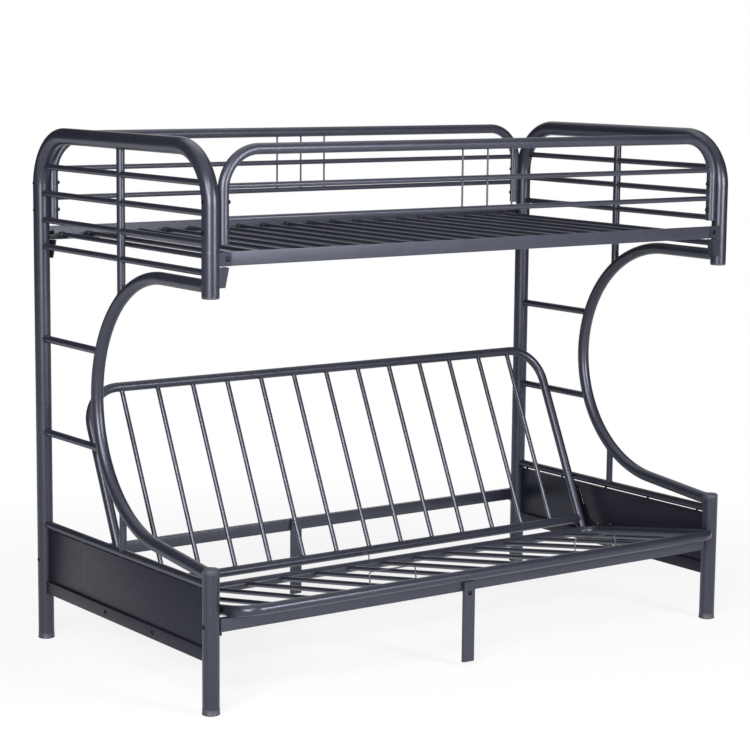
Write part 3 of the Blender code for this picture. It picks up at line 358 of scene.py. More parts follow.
def closed_mesh(work: bmesh.types.BMesh, name: str, finish: Material | None = None) -> Mesh:
    """Turns a bmesh into a mesh whose faces point outwards, in its finish if it has one."""
    bmesh.ops.recalc_face_normals(work, faces=work.faces)
    mesh = bpy.data.meshes.new(name)
    work.to_mesh(mesh)
    work.free()
    if finish is not None:
        mesh.materials.append(finish)
    return mesh


def plate(outline: Path, push: Vector, finish: Material, edge: Edge = Edge.PUNCHED) -> Mesh:
    """A flat plate or a straight length of a section, with softened edges.

    Args:
        outline: Corners of one face.
        push: From that face to the other one.
        finish: Its material.
        edge: How its edges are softened.

    Returns:
        The closed mesh.
    """
    work = bmesh.new()
    ends = bridge(work, [outline, [point + push for point in outline]])
    rims = {rim for face in ends for rim in face.edges}
    sharp = [line for line in work.edges
             if line in rims or line.calc_face_angle(0) > SHARP_ANGLE]
    width, steps = edge.value
    bmesh.ops.bevel(work, geom=sharp, offset=width, segments=steps, affect="EDGES",
                    clamp_overlap=True)
    return closed_mesh(work, "plate", finish)


def block(corner: Vector, opposite: Vector, finish: Material, edge: Edge) -> Mesh:
    """A rectangular block with softened edges, between two opposite corners."""
    low, high = (Vector([choose(pair) for pair in zip(corner, opposite)])
                 for choose in (min, max))
    flat = [Vector((x, y, low.z)) for x, y in
            ((low.x, low.y), (high.x, low.y), (high.x, high.y), (low.x, high.y))]
    return plate(flat, ALONG_Z * (high.z - low.z), finish, edge)


def turned(base: Vector, axis: Vector, profile: Sequence[Pair], finish: Material,
           sides: int) -> Mesh:
    """A solid of revolution.

    Args:
        base: Point on the axis where places are measured from.
        axis: Unit direction of the axis.
        profile: Place along the axis and radius of each ring.
        finish: Its material.
        sides: Faces round the axis.

    Returns:
        The closed mesh.
    """
    work = bmesh.new()
    first = axis.orthogonal().normalized()
    second = axis.cross(first)
    bridge(work, [circle(base + axis * place, first, second, radius, sides)
                  for place, radius in profile])
    return closed_mesh(work, "turned", finish)


def edge_mesh(paths: Sequence[Path], closed: bool = False) -> Mesh:
    """A mesh of bare edges along the paths, which a tree sweeps or walks."""
    points: Path = []
    edges: list[tuple[int, int]] = []
    for path in paths:
        start = len(points)
        points += path
        edges += [(start + i, start + i + 1) for i in range(len(path) - 1)]
        if closed:
            edges.append((len(points) - 1, start))
    mesh = bpy.data.meshes.new("edges")
    mesh.from_pydata([tuple(point) for point in points], edges, [])
    return mesh


def seat_mesh(places: Sequence[tuple[Vector, Vector]]) -> Mesh:
    """A mesh of bare points, each with the direction that a fastener on it faces."""
    mesh = bpy.data.meshes.new("seats")
    mesh.from_pydata([tuple(place) for place, _ in places], [], [])
    facing = mesh.attributes.new("facing", "FLOAT_VECTOR", "POINT")
    for index, (_, direction) in enumerate(places):
        facing.data[index].vector = direction
    return mesh


# Trees


class TreeDraft:
    """Lays out one Geometry Nodes tree and ends it in Realize Instances and Set Material."""

    def __init__(self, name: str) -> None:
        """Starts an empty tree with a geometry input and output."""
        self.tree = bpy.data.node_groups.new(name, "GeometryNodeTree")
        self.face = self.tree.interface
        self.face.new_socket("Geometry", in_out="OUTPUT", socket_type="NodeSocketGeometry")
        self.face.new_socket("Geometry", in_out="INPUT", socket_type="NodeSocketGeometry")
        self.source = self.tree.nodes.new("NodeGroupInput")
        self.sink = self.tree.nodes.new("NodeGroupOutput")

    def size(self, name: str, kind: str, value: object = None) -> Socket:
        """Adds a named input.

        Args:
            name: The input's name.
            kind: Socket type without its NodeSocket prefix.
            value: Default value, if any.

        Returns:
            The socket to link from.
        """
        item = self.face.new_socket(name, in_out="INPUT", socket_type=f"NodeSocket{kind}")
        if value is not None:
            item.default_value = value
        return self.source.outputs[name]

    def node(self, kind: str, inputs: dict[str, object] | None = None,
             **settings: object) -> bpy.types.Node:
        """Adds a node, sets it and feeds its inputs.

        Args:
            kind: The node's type.
            inputs: For each input's name, a socket to link or a value to set.
            settings: Properties of the node.

        Returns:
            The node.
        """
        node = self.tree.nodes.new(kind)
        for key, value in settings.items():
            setattr(node, key, value)
        for key, value in (inputs or {}).items():
            slot = node.inputs[int(key)] if key.isdigit() else node.inputs[key]
            if isinstance(value, Socket):
                self.tree.links.new(value, slot)
            else:
                slot.default_value = value
        return node

    def sums(self, operation: str, *values: object) -> Socket:
        """Adds a Math node that works on sockets or numbers."""
        inputs = {str(index): value for index, value in enumerate(values)}
        return self.node("ShaderNodeMath", inputs, operation=operation).outputs[0]

    def sweep(self, curve: Socket, radius: Socket, sides: Socket, **extra: Socket) -> Socket:
        """Sweeps a round section with closed ends along a curve."""
        ring = self.node("GeometryNodeCurvePrimitiveCircle",
                         {"Resolution": sides, "Radius": radius})
        tube = self.node("GeometryNodeCurveToMesh", {
            "Curve": curve, "Profile Curve": ring.outputs[0], "Fill Caps": True, **extra})
        return tube.outputs[0]

    def close(self, geometry: Socket) -> Tree:
        """Ends the tree.

        Args:
            geometry: The socket that holds the finished shape.

        Returns:
            The tree.
        """
        finish = self.size("Material", "Material")
        real = self.node("GeometryNodeRealizeInstances", {"Geometry": geometry})
        coated = self.node("GeometryNodeSetMaterial",
                           {"Geometry": real.outputs[0], "Material": finish})
        self.tree.links.new(coated.outputs[0], self.sink.inputs[0])
        return self.tree


def tube_tree() -> Tree:
    """Sweeps a round section along every chain of edges."""
    draft = TreeDraft("swept_tube")
    radius = draft.size("Radius", "Float", 0.01)
    sides = draft.size("Sides", "Int", 32)
    curve = draft.node("GeometryNodeMeshToCurve", {"Mesh": draft.source.outputs["Geometry"]})
    return draft.close(draft.sweep(curve.outputs[0], radius, sides))


def bar_row_tree() -> Tree:
    """Repeats one straight round bar at an even pitch."""
    draft = TreeDraft("bar_row")
    count = draft.size("Count", "Int", 2)
    start = draft.size("Start", "Vector")
    pitch = draft.size("Pitch", "Vector")
    length = draft.size("Length", "Vector")
    radius = draft.size("Radius", "Float", 0.005)
    sides = draft.size("Sides", "Int", 20)
    line = draft.node("GeometryNodeMeshLine", {
        "Count": count, "Start Location": start, "Offset": pitch}, mode="OFFSET")
    axis = draft.node("GeometryNodeCurvePrimitiveLine", {"End": length})
    row = draft.node("GeometryNodeInstanceOnPoints", {
        "Points": line.outputs[0], "Instance": draft.sweep(axis.outputs[0], radius, sides)})
    return draft.close(row.outputs[0])


def fastener_tree() -> Tree:
    """Sets one fastener on every point, facing where the point says."""
    draft = TreeDraft("fasteners")
    item = draft.size("Fastener", "Object")
    facing = draft.node("GeometryNodeInputNamedAttribute", {"Name": "facing"},
                        data_type="FLOAT_VECTOR")
    turn = draft.node("FunctionNodeAlignRotationToVector", {
        "Vector": facing.outputs["Attribute"]}, axis="Z")
    shape = draft.node("GeometryNodeObjectInfo", {"Object": item, "As Instance": True})
    placed = draft.node("GeometryNodeInstanceOnPoints", {
        "Points": draft.source.outputs["Geometry"], "Instance": shape.outputs["Geometry"],
        "Rotation": turn.outputs[0]})
    return draft.close(placed.outputs[0])


def weld_tree() -> Tree:
    """Lays a rippled bead of weld along closed lines."""
    draft = TreeDraft("weld_bead")
    radius = draft.size("Radius", "Float", 0.002)
    ripple = draft.size("Ripple", "Float", 0.0026)
    uneven = draft.size("Uneven", "Float", 0.5)
    seed = draft.size("Seed", "Float", 3.0)
    patches = draft.size("Patches", "Float", 160.0)
    height = draft.size("Wave Height", "Float", 0.14)
    body = draft.size("Body", "Float", 0.80)
    sides = draft.size("Sides", "Int", 7)
    curve = draft.node("GeometryNodeMeshToCurve", {"Mesh": draft.source.outputs["Geometry"]})
    along = draft.node("GeometryNodeSplineParameter")
    phase = draft.sums("DIVIDE", along.outputs["Length"], ripple)
    wave = draft.sums("SINE", draft.sums("MULTIPLY", phase, math.tau))
    noise = draft.node("ShaderNodeTexNoise", {"W": seed, "Scale": patches, "Detail": 1.0},
                       noise_dimensions="4D")
    patch = draft.sums("MULTIPLY", noise.outputs[0], uneven)
    thick = draft.sums("ADD", draft.sums("MULTIPLY_ADD", wave, height, body), patch)
    return draft.close(draft.sweep(curve.outputs[0], radius, sides, Scale=thick))


def grow(tree: Tree, carrier: Mesh, values: dict[str, object]) -> Mesh:
    """Runs a tree on a carrier mesh and keeps the result as a plain mesh.

    Args:
        tree: The Geometry Nodes tree.
        carrier: The mesh that it starts from.
        values: A value for each named input.

    Returns:
        The plain mesh.
    """
    holder = bpy.data.objects.new("carrier", carrier)
    bpy.context.scene.collection.objects.link(holder)
    modifier = holder.modifiers.new("grow", "NODES")
    modifier.node_group = tree
    for item in tree.interface.items_tree:
        if item.item_type == "SOCKET" and item.in_out == "INPUT" and item.name in values:
            modifier[item.identifier] = values[item.name]
    graph = bpy.context.evaluated_depsgraph_get()
    mesh = bpy.data.meshes.new_from_object(holder.evaluated_get(graph), depsgraph=graph)
    holder.modifiers.remove(modifier)
    bpy.data.objects.remove(holder)
    return mesh


# Finishes


def scaled(colour: Colour, factor: float) -> Colour:
    """A colour made darker or lighter."""
    return tuple(value * factor for value in colour)


class Shading:
    """Adds nodes to a material whose patterns lie on Object coordinates."""

    def __init__(self, name: str) -> None:
        """Starts a Principled material."""
        self.material = bpy.data.materials.new(name)
        self.material.use_nodes = True
        self.nodes = self.material.node_tree.nodes
        self.links = self.material.node_tree.links
        self.shader = self.nodes["Principled BSDF"]
        self.place = self.nodes.new("ShaderNodeTexCoord").outputs["Object"]

    def noise(self, scale: float, detail: float = 2.0, rough: float = 0.5) -> Socket:
        """A noise pattern in metres.

        Args:
            scale: Patches for each metre.
            detail: Octaves.
            rough: Weight of the finer octaves.

        Returns:
            The pattern's value.
        """
        node = self.nodes.new("ShaderNodeTexNoise")
        node.inputs["Scale"].default_value = scale
        node.inputs["Detail"].default_value = detail
        node.inputs["Roughness"].default_value = rough
        self.links.new(self.place, node.inputs["Vector"])
        return node.outputs["Fac"]

    def between(self, value: Socket, low: float, high: float, span: Pair = (0.3, 0.7)) -> Socket:
        """Maps a pattern to a range of numbers."""
        node = self.nodes.new("ShaderNodeMapRange")
        node.inputs["From Min"].default_value, node.inputs["From Max"].default_value = span
        node.inputs["To Min"].default_value = low
        node.inputs["To Max"].default_value = high
        self.links.new(value, node.inputs["Value"])
        return node.outputs["Result"]

    def blend(self, share: Socket, first: Sequence[float] | Socket,
              second: Sequence[float] | Socket) -> Socket:
        """Mixes two colours by a pattern."""
        node = self.nodes.new("ShaderNodeMix")
        node.data_type = "RGBA"
        self.links.new(share, node.inputs[0])
        for value, slot in ((first, node.inputs[6]), (second, node.inputs[7])):
            if isinstance(value, Socket):
                self.links.new(value, slot)
            else:
                slot.default_value = (*value, 1)
        return node.outputs[2]

    def bump(self, height: Socket, strength: float, distance: float,
             under: Socket | None = None) -> Socket:
        """Raises a pattern on the surface, over another one if given."""
        node = self.nodes.new("ShaderNodeBump")
        node.inputs["Strength"].default_value = strength
        node.inputs["Distance"].default_value = distance
        self.links.new(height, node.inputs["Height"])
        if under is not None:
            self.links.new(under, node.inputs["Normal"])
        return node.outputs["Normal"]

    def set(self, **values: float | Socket) -> None:
        """Sets or links sockets of the shader, named with underscores for spaces."""
        for key, value in values.items():
            slot = self.shader.inputs[key.replace("_", " ")]
            if isinstance(value, Socket):
                self.links.new(value, slot)
            else:
                slot.default_value = value


@dataclass(frozen=True)
class PowderCoat:
    """Baked powder paint on steel: dark gunmetal with fine flakes and a faint orange peel.

    Each pattern is a tuple of patches for each metre and octaves.
    """

    name: str
    colour: Colour
    gloss: Pair = (0.31, 0.35)
    metallic: float = 0.20
    shine: float = 0.62
    tint: Colour = (0.84, 0.88, 1.0)
    peel: float = 0.04
    flake: float = 1.5
    mottle: Pair = (0.88, 1.13)
    mottle_pattern: Pair = (5.0, 3.0)
    flake_pattern: Pair = (2600.0, 0.0)
    flake_span: Pair = (0.60, 0.72)
    peel_pattern: Pair = (420.0, 1.0)
    peel_depth: float = 0.0004
    grain_pattern: Pair = (2200.0, 1.0)
    grain_depth: float = 0.0002
    grain_share: float = 0.6
    gloss_pattern: Pair = (38.0, 3.0)

    def make(self) -> Material:
        """The paint's material."""
        art = Shading(self.name)
        patches = art.between(art.noise(*self.mottle_pattern), 0, 1)
        base = art.blend(patches, *(scaled(self.colour, factor) for factor in self.mottle))
        flakes = art.between(art.noise(*self.flake_pattern), 0, 1, self.flake_span)
        coat = art.blend(flakes, base, scaled(self.colour, self.flake))
        peel = art.bump(art.noise(*self.peel_pattern), self.peel, self.peel_depth)
        grain = art.bump(art.noise(*self.grain_pattern), self.peel * self.grain_share,
                         self.grain_depth, peel)
        gloss = art.between(art.noise(*self.gloss_pattern), *self.gloss)
        art.set(Base_Color=coat, Roughness=gloss, Normal=grain, Metallic=self.metallic,
                Specular_IOR_Level=self.shine, Specular_Tint=(*self.tint, 1))
        return art.material


@dataclass(frozen=True)
class MouldedPlastic:
    """Moulded black plastic with a fine leather-like grain."""

    name: str
    colour: Colour = (0.016, 0.016, 0.018)
    gloss: Pair = (0.42, 0.54)
    pale: float = 1.35
    mottle_pattern: Pair = (60.0, 3.0)
    grain_pattern: Pair = (1500.0, 2.0)
    grain: float = 0.18
    grain_depth: float = 0.0003
    gloss_pattern: Pair = (90.0, 2.0)

    def make(self) -> Material:
        """The plastic's material."""
        art = Shading(self.name)
        patches = art.between(art.noise(*self.mottle_pattern), 0, 1)
        art.set(Base_Color=art.blend(patches, self.colour, scaled(self.colour, self.pale)),
                Roughness=art.between(art.noise(*self.gloss_pattern), *self.gloss),
                Normal=art.bump(art.noise(*self.grain_pattern), self.grain, self.grain_depth))
        return art.material


@dataclass(frozen=True)
class PlatedSteel:
    """Plated or blackened steel of screws, nuts and pins, with turning marks."""

    name: str
    colour: Colour = (0.42, 0.42, 0.44)
    gloss: Pair = (0.24, 0.40)
    metallic: float = 0.95
    dull: float = 0.62
    stain_pattern: tuple[float, float, float] = (240.0, 4.0, 0.65)
    scratch_pattern: Pair = (3200.0, 2.0)
    scratch: float = 0.10
    scratch_depth: float = 0.0001
    gloss_pattern: Pair = (500.0, 2.0)

    def make(self) -> Material:
        """The metal's material."""
        art = Shading(self.name)
        stain = art.between(art.noise(*self.stain_pattern), 0, 1)
        art.set(Base_Color=art.blend(stain, self.colour, scaled(self.colour, self.dull)),
                Metallic=self.metallic,
                Roughness=art.between(art.noise(*self.gloss_pattern), *self.gloss),
                Normal=art.bump(art.noise(*self.scratch_pattern), self.scratch,
                                self.scratch_depth))
        return art.material


# Shop: trees, finishes and fasteners that every sub-assembly draws on


@dataclass(frozen=True)
class FastenerSizes:
    """Sizes of one kind of fastener head, and its outline in shares of height and radius."""

    radius: float
    height: float
    skirt: float = 0.96
    outline: tuple[Pair, ...] = (
        (0.0, 1.0), (0.34, 1.0), (0.70, 0.90), (0.92, 0.70), (1.0, 0.52))
    socket: float = 0.0
    depth: float = 0.0016
    sides: int = 24


FASTENERS = {
    Head.SOCKET: FastenerSizes(radius=0.0070, height=0.0029, socket=0.0028),
    Head.NUT: FastenerSizes(radius=0.0066, height=0.0078, skirt=0.80, outline=(
        (0.0, 1.16), (0.10, 1.16), (0.14, 0.90), (0.60, 0.84), (0.84, 0.62), (0.97, 0.30))),
    Head.RIVET: FastenerSizes(radius=0.0044, height=0.0018),
}


def head_mesh(kind: Head) -> Mesh:
    """The mesh of one fastener head that sits on Z zero and faces +Z.

    Args:
        kind: Which head it is.

    Returns:
        The closed mesh, with a small skirt under zero.
    """
    size = FASTENERS[kind]
    outline = [(-size.depth, size.radius * size.skirt)]
    outline += [(size.height * rise, size.radius * reach) for rise, reach in size.outline]
    loops = [circle(ALONG_Z * place, ALONG_X, ALONG_Y, radius, size.sides)
             for place, radius in outline]
    if size.socket:
        loops += [hexagon(size.height - sunk, size.socket, size.sides)
                  for sunk in (0, size.depth)]
    work = bmesh.new()
    bridge(work, loops)
    return closed_mesh(work, kind.value)


class Shop:
    """Makes parts in bed coordinates: tubes, bars, welds and fasteners in their finishes."""

    def __init__(self) -> None:
        """Builds the trees, the finishes and the fastener heads once."""
        self.tubes = tube_tree()
        self.bars = bar_row_tree()
        self.fasteners = fastener_tree()
        self.welds = weld_tree()
        self.frame_coat = PowderCoat("frame_powder_coat", (0.0172, 0.0181, 0.0278)).make()
        self.rail_coat = PowderCoat("rail_powder_coat", (0.024, 0.025, 0.037),
                                    gloss=(0.34, 0.38)).make()
        # The side panels' coat is a darker copy of the frame's powder coat: painted shade on the
        # sheet.
        self.panel_coat = PowderCoat("panel_powder_coat", (0.0090, 0.0094, 0.0153),
                                     gloss=(0.34, 0.40), shine=0.26).make()
        self.gear_coat = PowderCoat("gear_powder_coat", (0.020, 0.020, 0.025),
                                    gloss=(0.40, 0.50)).make()
        # Near-black coat of the seat's hinge plates and the back's flat bars: partly their own
        # black paint, and on the hinge plates partly painted shade.
        self.link_coat = PowderCoat("link_powder_coat", (0.005, 0.005, 0.007),
                                    gloss=(0.30, 0.36), shine=0.18).make()
        self.bracket_coat = PowderCoat("bracket_powder_coat", (0.019, 0.020, 0.030),
                                       gloss=(0.50, 0.58), metallic=0.0, shine=0.16).make()
        self.glossy_coat = PowderCoat("sofa_slat_powder_coat", (0.019, 0.020, 0.030),
                                      gloss=(0.29, 0.33), shine=1.05,
                                      peel=0.01, flake=1.2).make()
        self.slat_coat = PowderCoat("slat_powder_coat", (0.018, 0.019, 0.029),
                                    gloss=(0.33, 0.38), shine=0.34).make()
        self.holder_plastic = MouldedPlastic("holder_plastic_black").make()
        self.plastic = MouldedPlastic("cap_plastic_grey", (0.026, 0.027, 0.038),
                                      (0.50, 0.60)).make()
        self.plated = PlatedSteel("stud_plated_steel", (0.52, 0.52, 0.53), (0.28, 0.40)).make()
        self.wire = PlatedSteel("wire_dull_steel", (0.11, 0.11, 0.13), (0.30, 0.40)).make()
        self.blackened = PlatedSteel("screw_black_steel", (0.020, 0.020, 0.022),
                                     (0.20, 0.30)).make()
        self.heads = {kind: bpy.data.objects.new(kind.value, head_mesh(kind)) for kind in Head}

    def tube(self, paths: Sequence[Path], size: Round, finish: Material,
             closed: bool = False) -> Mesh:
        """Round tubes of one size along paths, which may close on themselves."""
        return grow(self.tubes, edge_mesh(paths, closed), {
            "Radius": size.radius, "Sides": size.sides, "Material": finish})

    def row(self, start: Vector, pitch: Vector, length: Vector, count: int, size: Round,
            finish: Material) -> Mesh:
        """Straight round bars of one size at an even pitch, the first of them at the start."""
        return grow(self.bars, bpy.data.meshes.new("none"), {
            "Count": count, "Start": tuple(start), "Pitch": tuple(pitch),
            "Length": tuple(length), "Radius": size.radius, "Sides": size.sides,
            "Material": finish})

    def bead(self, lines: Sequence[Path], weld: Weld, finish: Material) -> Mesh:
        """Rippled weld beads along closed lines."""
        return grow(self.welds, edge_mesh(lines, True), {
            "Radius": weld.value, "Ripple": weld.value * RIPPLE_SHARE, "Material": finish})

    def bolts(self, kind: Head, places: Sequence[tuple[Vector, Vector]],
              finish: Material) -> Mesh:
        """Fastener heads at places, each with the direction it faces."""
        return grow(self.fasteners, seat_mesh(places), {
            "Fastener": self.heads[kind], "Material": finish})


def assemble(name: str, parts: Sequence[Mesh], place: Matrix, body: str,
             replaced: Sequence[str]) -> bpy.types.Object:
    """Joins parts to one piece, puts it in place and ties it to its body.

    Args:
        name: The piece's name.
        parts: Its meshes, each with one material.
        place: From the parts' own coordinates to the frame's.
        body: The body it rides on.
        replaced: The nodes it stands for.

    Returns:
        The finished piece.
    """
    work = bmesh.new()
    finishes: list[Material] = []
    for part in parts:
        finish = next(material for material in part.materials if material)
        if finish not in finishes:
            finishes.append(finish)
        before = len(work.faces)
        work.from_mesh(part)
        work.faces.ensure_lookup_table()
        index = finishes.index(finish)
        for face in work.faces[before:]:
            face.material_index = index
        bpy.data.meshes.remove(part)
    work.transform(place)
    bmesh.ops.recalc_face_normals(work, faces=work.faces)
    mesh = bpy.data.meshes.new(name)
    work.to_mesh(mesh)
    work.free()
    for finish in finishes:
        mesh.materials.append(finish)
    mesh.shade_smooth()
    mesh.set_sharp_from_angle(angle=SMOOTH_ANGLE)
    piece = bpy.data.objects.new(name, mesh)
    bpy.context.scene.collection.objects.link(piece)
    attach(piece, body)
    if replaced:
        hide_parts(*replaced)
    log.info("%s: %d faces on %s", name, len(mesh.polygons), body)
    return piece


# Where the bed stands


@dataclass(frozen=True)
class BedPlan:
    """Where the posts stand in the frame, and the places where pieces of the bed meet."""

    end_x: float
    front_y: float
    spacing: float
    foot_height: float = 0.018
    front_post_top: float = 0.425
    dome_height: float = 0.015
    hoop_front_end: float = 1.187
    plug_height: float = 0.006
    rail_bottom: float = 1.277
    rail_leg: float = 0.040
    rail_plane: float = 0.017
    rail_bolt: float = 0.0433
    tie_section: Pair = (0.020, 0.040)
    panel_top: float = 0.385
    guard_bolts: Pair = (1.453, 1.369)
    stud_plate_bolts: Pair = (0.314, 0.597)

    @classmethod
    def from_frame(cls) -> "BedPlan":
        """Reads the places from the posts' boxes."""
        low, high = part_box("right_front_post")
        rear_low, rear_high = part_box("right_back_post")
        front = (low[1] + high[1]) / 2
        return cls((low[0] + high[0]) / 2, front, (rear_low[1] + rear_high[1]) / 2 - front)

    @property
    def rail_middle(self) -> float:
        """Height of the middle of the upper side rails."""
        return self.rail_bottom + self.rail_leg / 2

    @property
    def panel_rail(self) -> float:
        """Height of the axis of the side panels' upper tube."""
        return self.panel_top - STOCK.panel_rail.radius

    def depth(self, row: Row) -> float:
        """Depth of a row of posts."""
        return self.spacing if row is Row.REAR else 0.0

    def bed(self) -> Matrix:
        """From bed coordinates to the frame's."""
        return Matrix.Translation((0, self.front_y, 0))

    def end(self, side: Side) -> Matrix:
        """From the coordinates of one end's plane of posts to the frame's."""
        return Matrix.Translation((side.value * self.end_x, self.front_y, 0))


@dataclass
class EndPart:
    """A sub-assembly of one end, modelled about the plane of that end's posts."""

    shop: Shop
    plan: BedPlan
    side: Side

    @property
    def inward(self) -> Vector:
        """Direction of X towards the middle of the bed."""
        return ALONG_X * self.side.inward

    def put(self, name: str, parts: Sequence[Mesh], replaced: str,
            slot: str = "frame_steel", body: str = "bed_frame") -> None:
        """Assembles a piece of this end, whose name and node start with the side's word."""
        word = self.side.word
        assemble(f"{word}_{name}", parts, self.plan.end(self.side), body,
                 [f"{word}_{replaced}"])

    def outer_bolts(self, reach: float, places: Sequence[Pair]) -> Mesh:
        """Socket heads that face away from the bed, a reach outside the plane of posts."""
        spots = [(yz(*place) - self.inward * reach, -self.inward) for place in places]
        return self.shop.bolts(Head.SOCKET, spots, self.shop.blackened)


# Ends


@dataclass
class RailBracket(EndPart):
    """The bracket that a hoop carries for an upper side rail, and the gusset under it."""

    row: Row
    reach: float = 0.0567
    root: float = 0.010
    wall: float = 0.003
    corner: float = 0.003
    lap: float = 0.0004
    gusset_reach: Pair = (0.0490, 0.0368)
    gusset_height: float = 0.056
    gusset_drop: float = 0.004
    gusset_bulge: float = 0.0022
    flange_depth: float = 0.026
    flange_lap: float = 0.0003
    seam_setback: float = 0.003
    seam_rest: float = 0.002
    seam_lift: float = 0.0006
    tack_span: Pair = (0.020, 0.036)
    tack_drop: float = 0.001

    def at(self, reach: float, height: float, out: float = 0.0) -> Vector:
        """A point at a reach inwards and a height, out from the bracket's inner face."""
        depth = self.plan.depth(self.row) + self.row.value * (self.plan.rail_plane + out)
        return self.inward * reach + yz(depth, height)

    def parts(self) -> list[Mesh]:
        """The bracket, its gusset, the weld beads and the bolt."""
        coat, out = self.shop.bracket_coat, ALONG_Y * self.row.value
        low, top = self.plan.rail_bottom, self.plan.rail_bottom + self.plan.rail_leg
        face = rounded_path([self.at(self.root, low), self.at(self.reach, low),
                             self.at(self.reach, top), self.at(self.root, top)],
                            self.corner, steps=5)
        skin = self.plan.rail_plane + self.wall
        edge = math.sqrt(STOCK.post.radius**2 - skin**2) + self.seam_lift
        gusset_top = low - self.gusset_drop
        spans = ((low + self.seam_setback, top - self.seam_setback),
                 (gusset_top - self.gusset_height + self.seam_setback,
                  gusset_top - self.seam_rest))
        seams = [[self.at(edge, height, self.wall - self.lap) for height in span]
                 for span in spans]
        tack = [self.at(x, low - self.tack_drop, self.wall / 2) for x in self.tack_span]
        bolt = (self.at(self.plan.rail_bolt, self.plan.rail_middle, self.wall), out)
        return [plate(face, out * self.wall, coat, Edge.SHEARED), *self.gusset_parts(gusset_top),
                self.shop.bead(seams, Weld.BRACKET, coat),
                self.shop.bead([tack], Weld.TACK, coat),
                self.shop.bolts(Head.SOCKET, [bolt], self.shop.blackened)]

    def gusset_parts(self, top: float) -> list[Mesh]:
        """The tapered gusset: a face with a bulging top and a flange folded back."""
        coat, out = self.shop.bracket_coat, ALONG_Y * self.row.value
        base = top - self.gusset_height
        high_reach, low_reach = self.gusset_reach
        face = [self.at(self.root, base), self.at(low_reach, base), self.at(high_reach, top)]
        face += [self.at(high_reach + (self.root - high_reach) * share,
                         top + self.gusset_bulge * math.sin(math.pi * share))
                 for share in shares(8)[1:]]
        low, high = (self.at(reach, height, self.wall - self.lap)
                     for reach, height in ((low_reach, base), (high_reach, top)))
        slope = (high - low).normalized()
        side = Vector((slope.z * -self.side.inward, 0, abs(slope.x)))
        near, far = side * self.flange_lap, side * self.wall
        flange = [low + near, high + near, high + far, low + far]
        return [plate(face, out * self.wall, coat, Edge.SHEARED),
                plate(flange, -out * self.flange_depth, coat, Edge.SHEARED)]


@dataclass
class PostCaps(EndPart):
    """Plastic of one end: foot caps, the front post's dome and the upper post's plug.

    An edge's steps are each a rise and an inset from the cap's radius.
    """

    flare: float = 0.0012
    skin: float = 0.0003
    sole: tuple[Pair, ...] = ((0.0, 0.0016), (0.0004, 0.0004))
    flare_edge: tuple[Pair, ...] = ((0.0014, 0.0004), (0.0026, 0.0))
    rim_share: float = 0.28
    rim_fall: float = 0.0014
    mouth_inset: float = 0.0006
    dome_groove: tuple[Pair, ...] = (
        (0.0, 0.0), (0.0015, 0.0), (0.00195, 0.0006), (0.00255, 0.0002))
    dome_edge_share: float = 0.42
    dome_rise: float = 0.94
    dome_spread: float = 1.3
    dome_flat: float = 0.20
    plug_edge: tuple[Pair, ...] = (
        (0.0, 0.0022), (0.0006, 0.0010), (0.0016, 0.0002), (0.0030, 0.0))

    def build(self) -> None:
        """Builds every cap of this end."""
        for row, name in ((Row.FRONT, "front_foot"), (Row.REAR, "back_foot")):
            self.put_cap(f"{name}_moulding", self.foot_profile(), yz(self.plan.depth(row), 0),
                         f"{name}_cap", 48)
        sides = STOCK.post.sides
        base = yz(0, self.plan.front_post_top - self.plan.dome_height)
        self.put_cap("front_post_dome", self.dome_profile(), base, "front_post_cap", sides)
        low, radius = self.plan.hoop_front_end, STOCK.post.radius
        plug = rings(low, radius, self.plug_edge) + [(low + self.plan.plug_height, radius)]
        self.put_cap("upper_post_plug", plug, Vector(), "front_post_plug", sides)

    def put_cap(self, name: str, profile: Sequence[Pair], base: Vector, replaced: str,
                sides: int) -> None:
        """Turns one cap and assembles it."""
        self.put(name, [turned(base, ALONG_Z, profile, self.shop.plastic, sides)], replaced,
                 "cap_plastic")

    def foot_profile(self) -> list[Pair]:
        """Profile of a foot cap, which flares at the floor."""
        radius, high = STOCK.post.radius, self.plan.foot_height
        wide, rim = radius + self.flare, high * self.rim_share
        return (rings(0, radius, self.sole) + rings(0, wide, self.flare_edge)
                + [(rim - self.rim_fall, wide), (rim, radius + self.skin),
                   (high, radius + self.skin), (high + self.skin, radius - self.mouth_inset)])

    def dome_profile(self) -> list[Pair]:
        """Profile of the front post's cap, with a soft edge and a flat top."""
        radius, tall = STOCK.post.radius, self.plan.dome_height
        profile = rings(0, radius, self.dome_groove)
        soft, edge = tall * self.dome_edge_share, profile[-1][1]
        profile += [(tall - soft + soft * math.sin(QUARTER * share) * self.dome_rise,
                     edge - soft * self.dome_spread * (1 - math.cos(QUARTER * share)))
                    for share in shares(12)]
        return profile + [(tall, radius * self.dome_flat)]


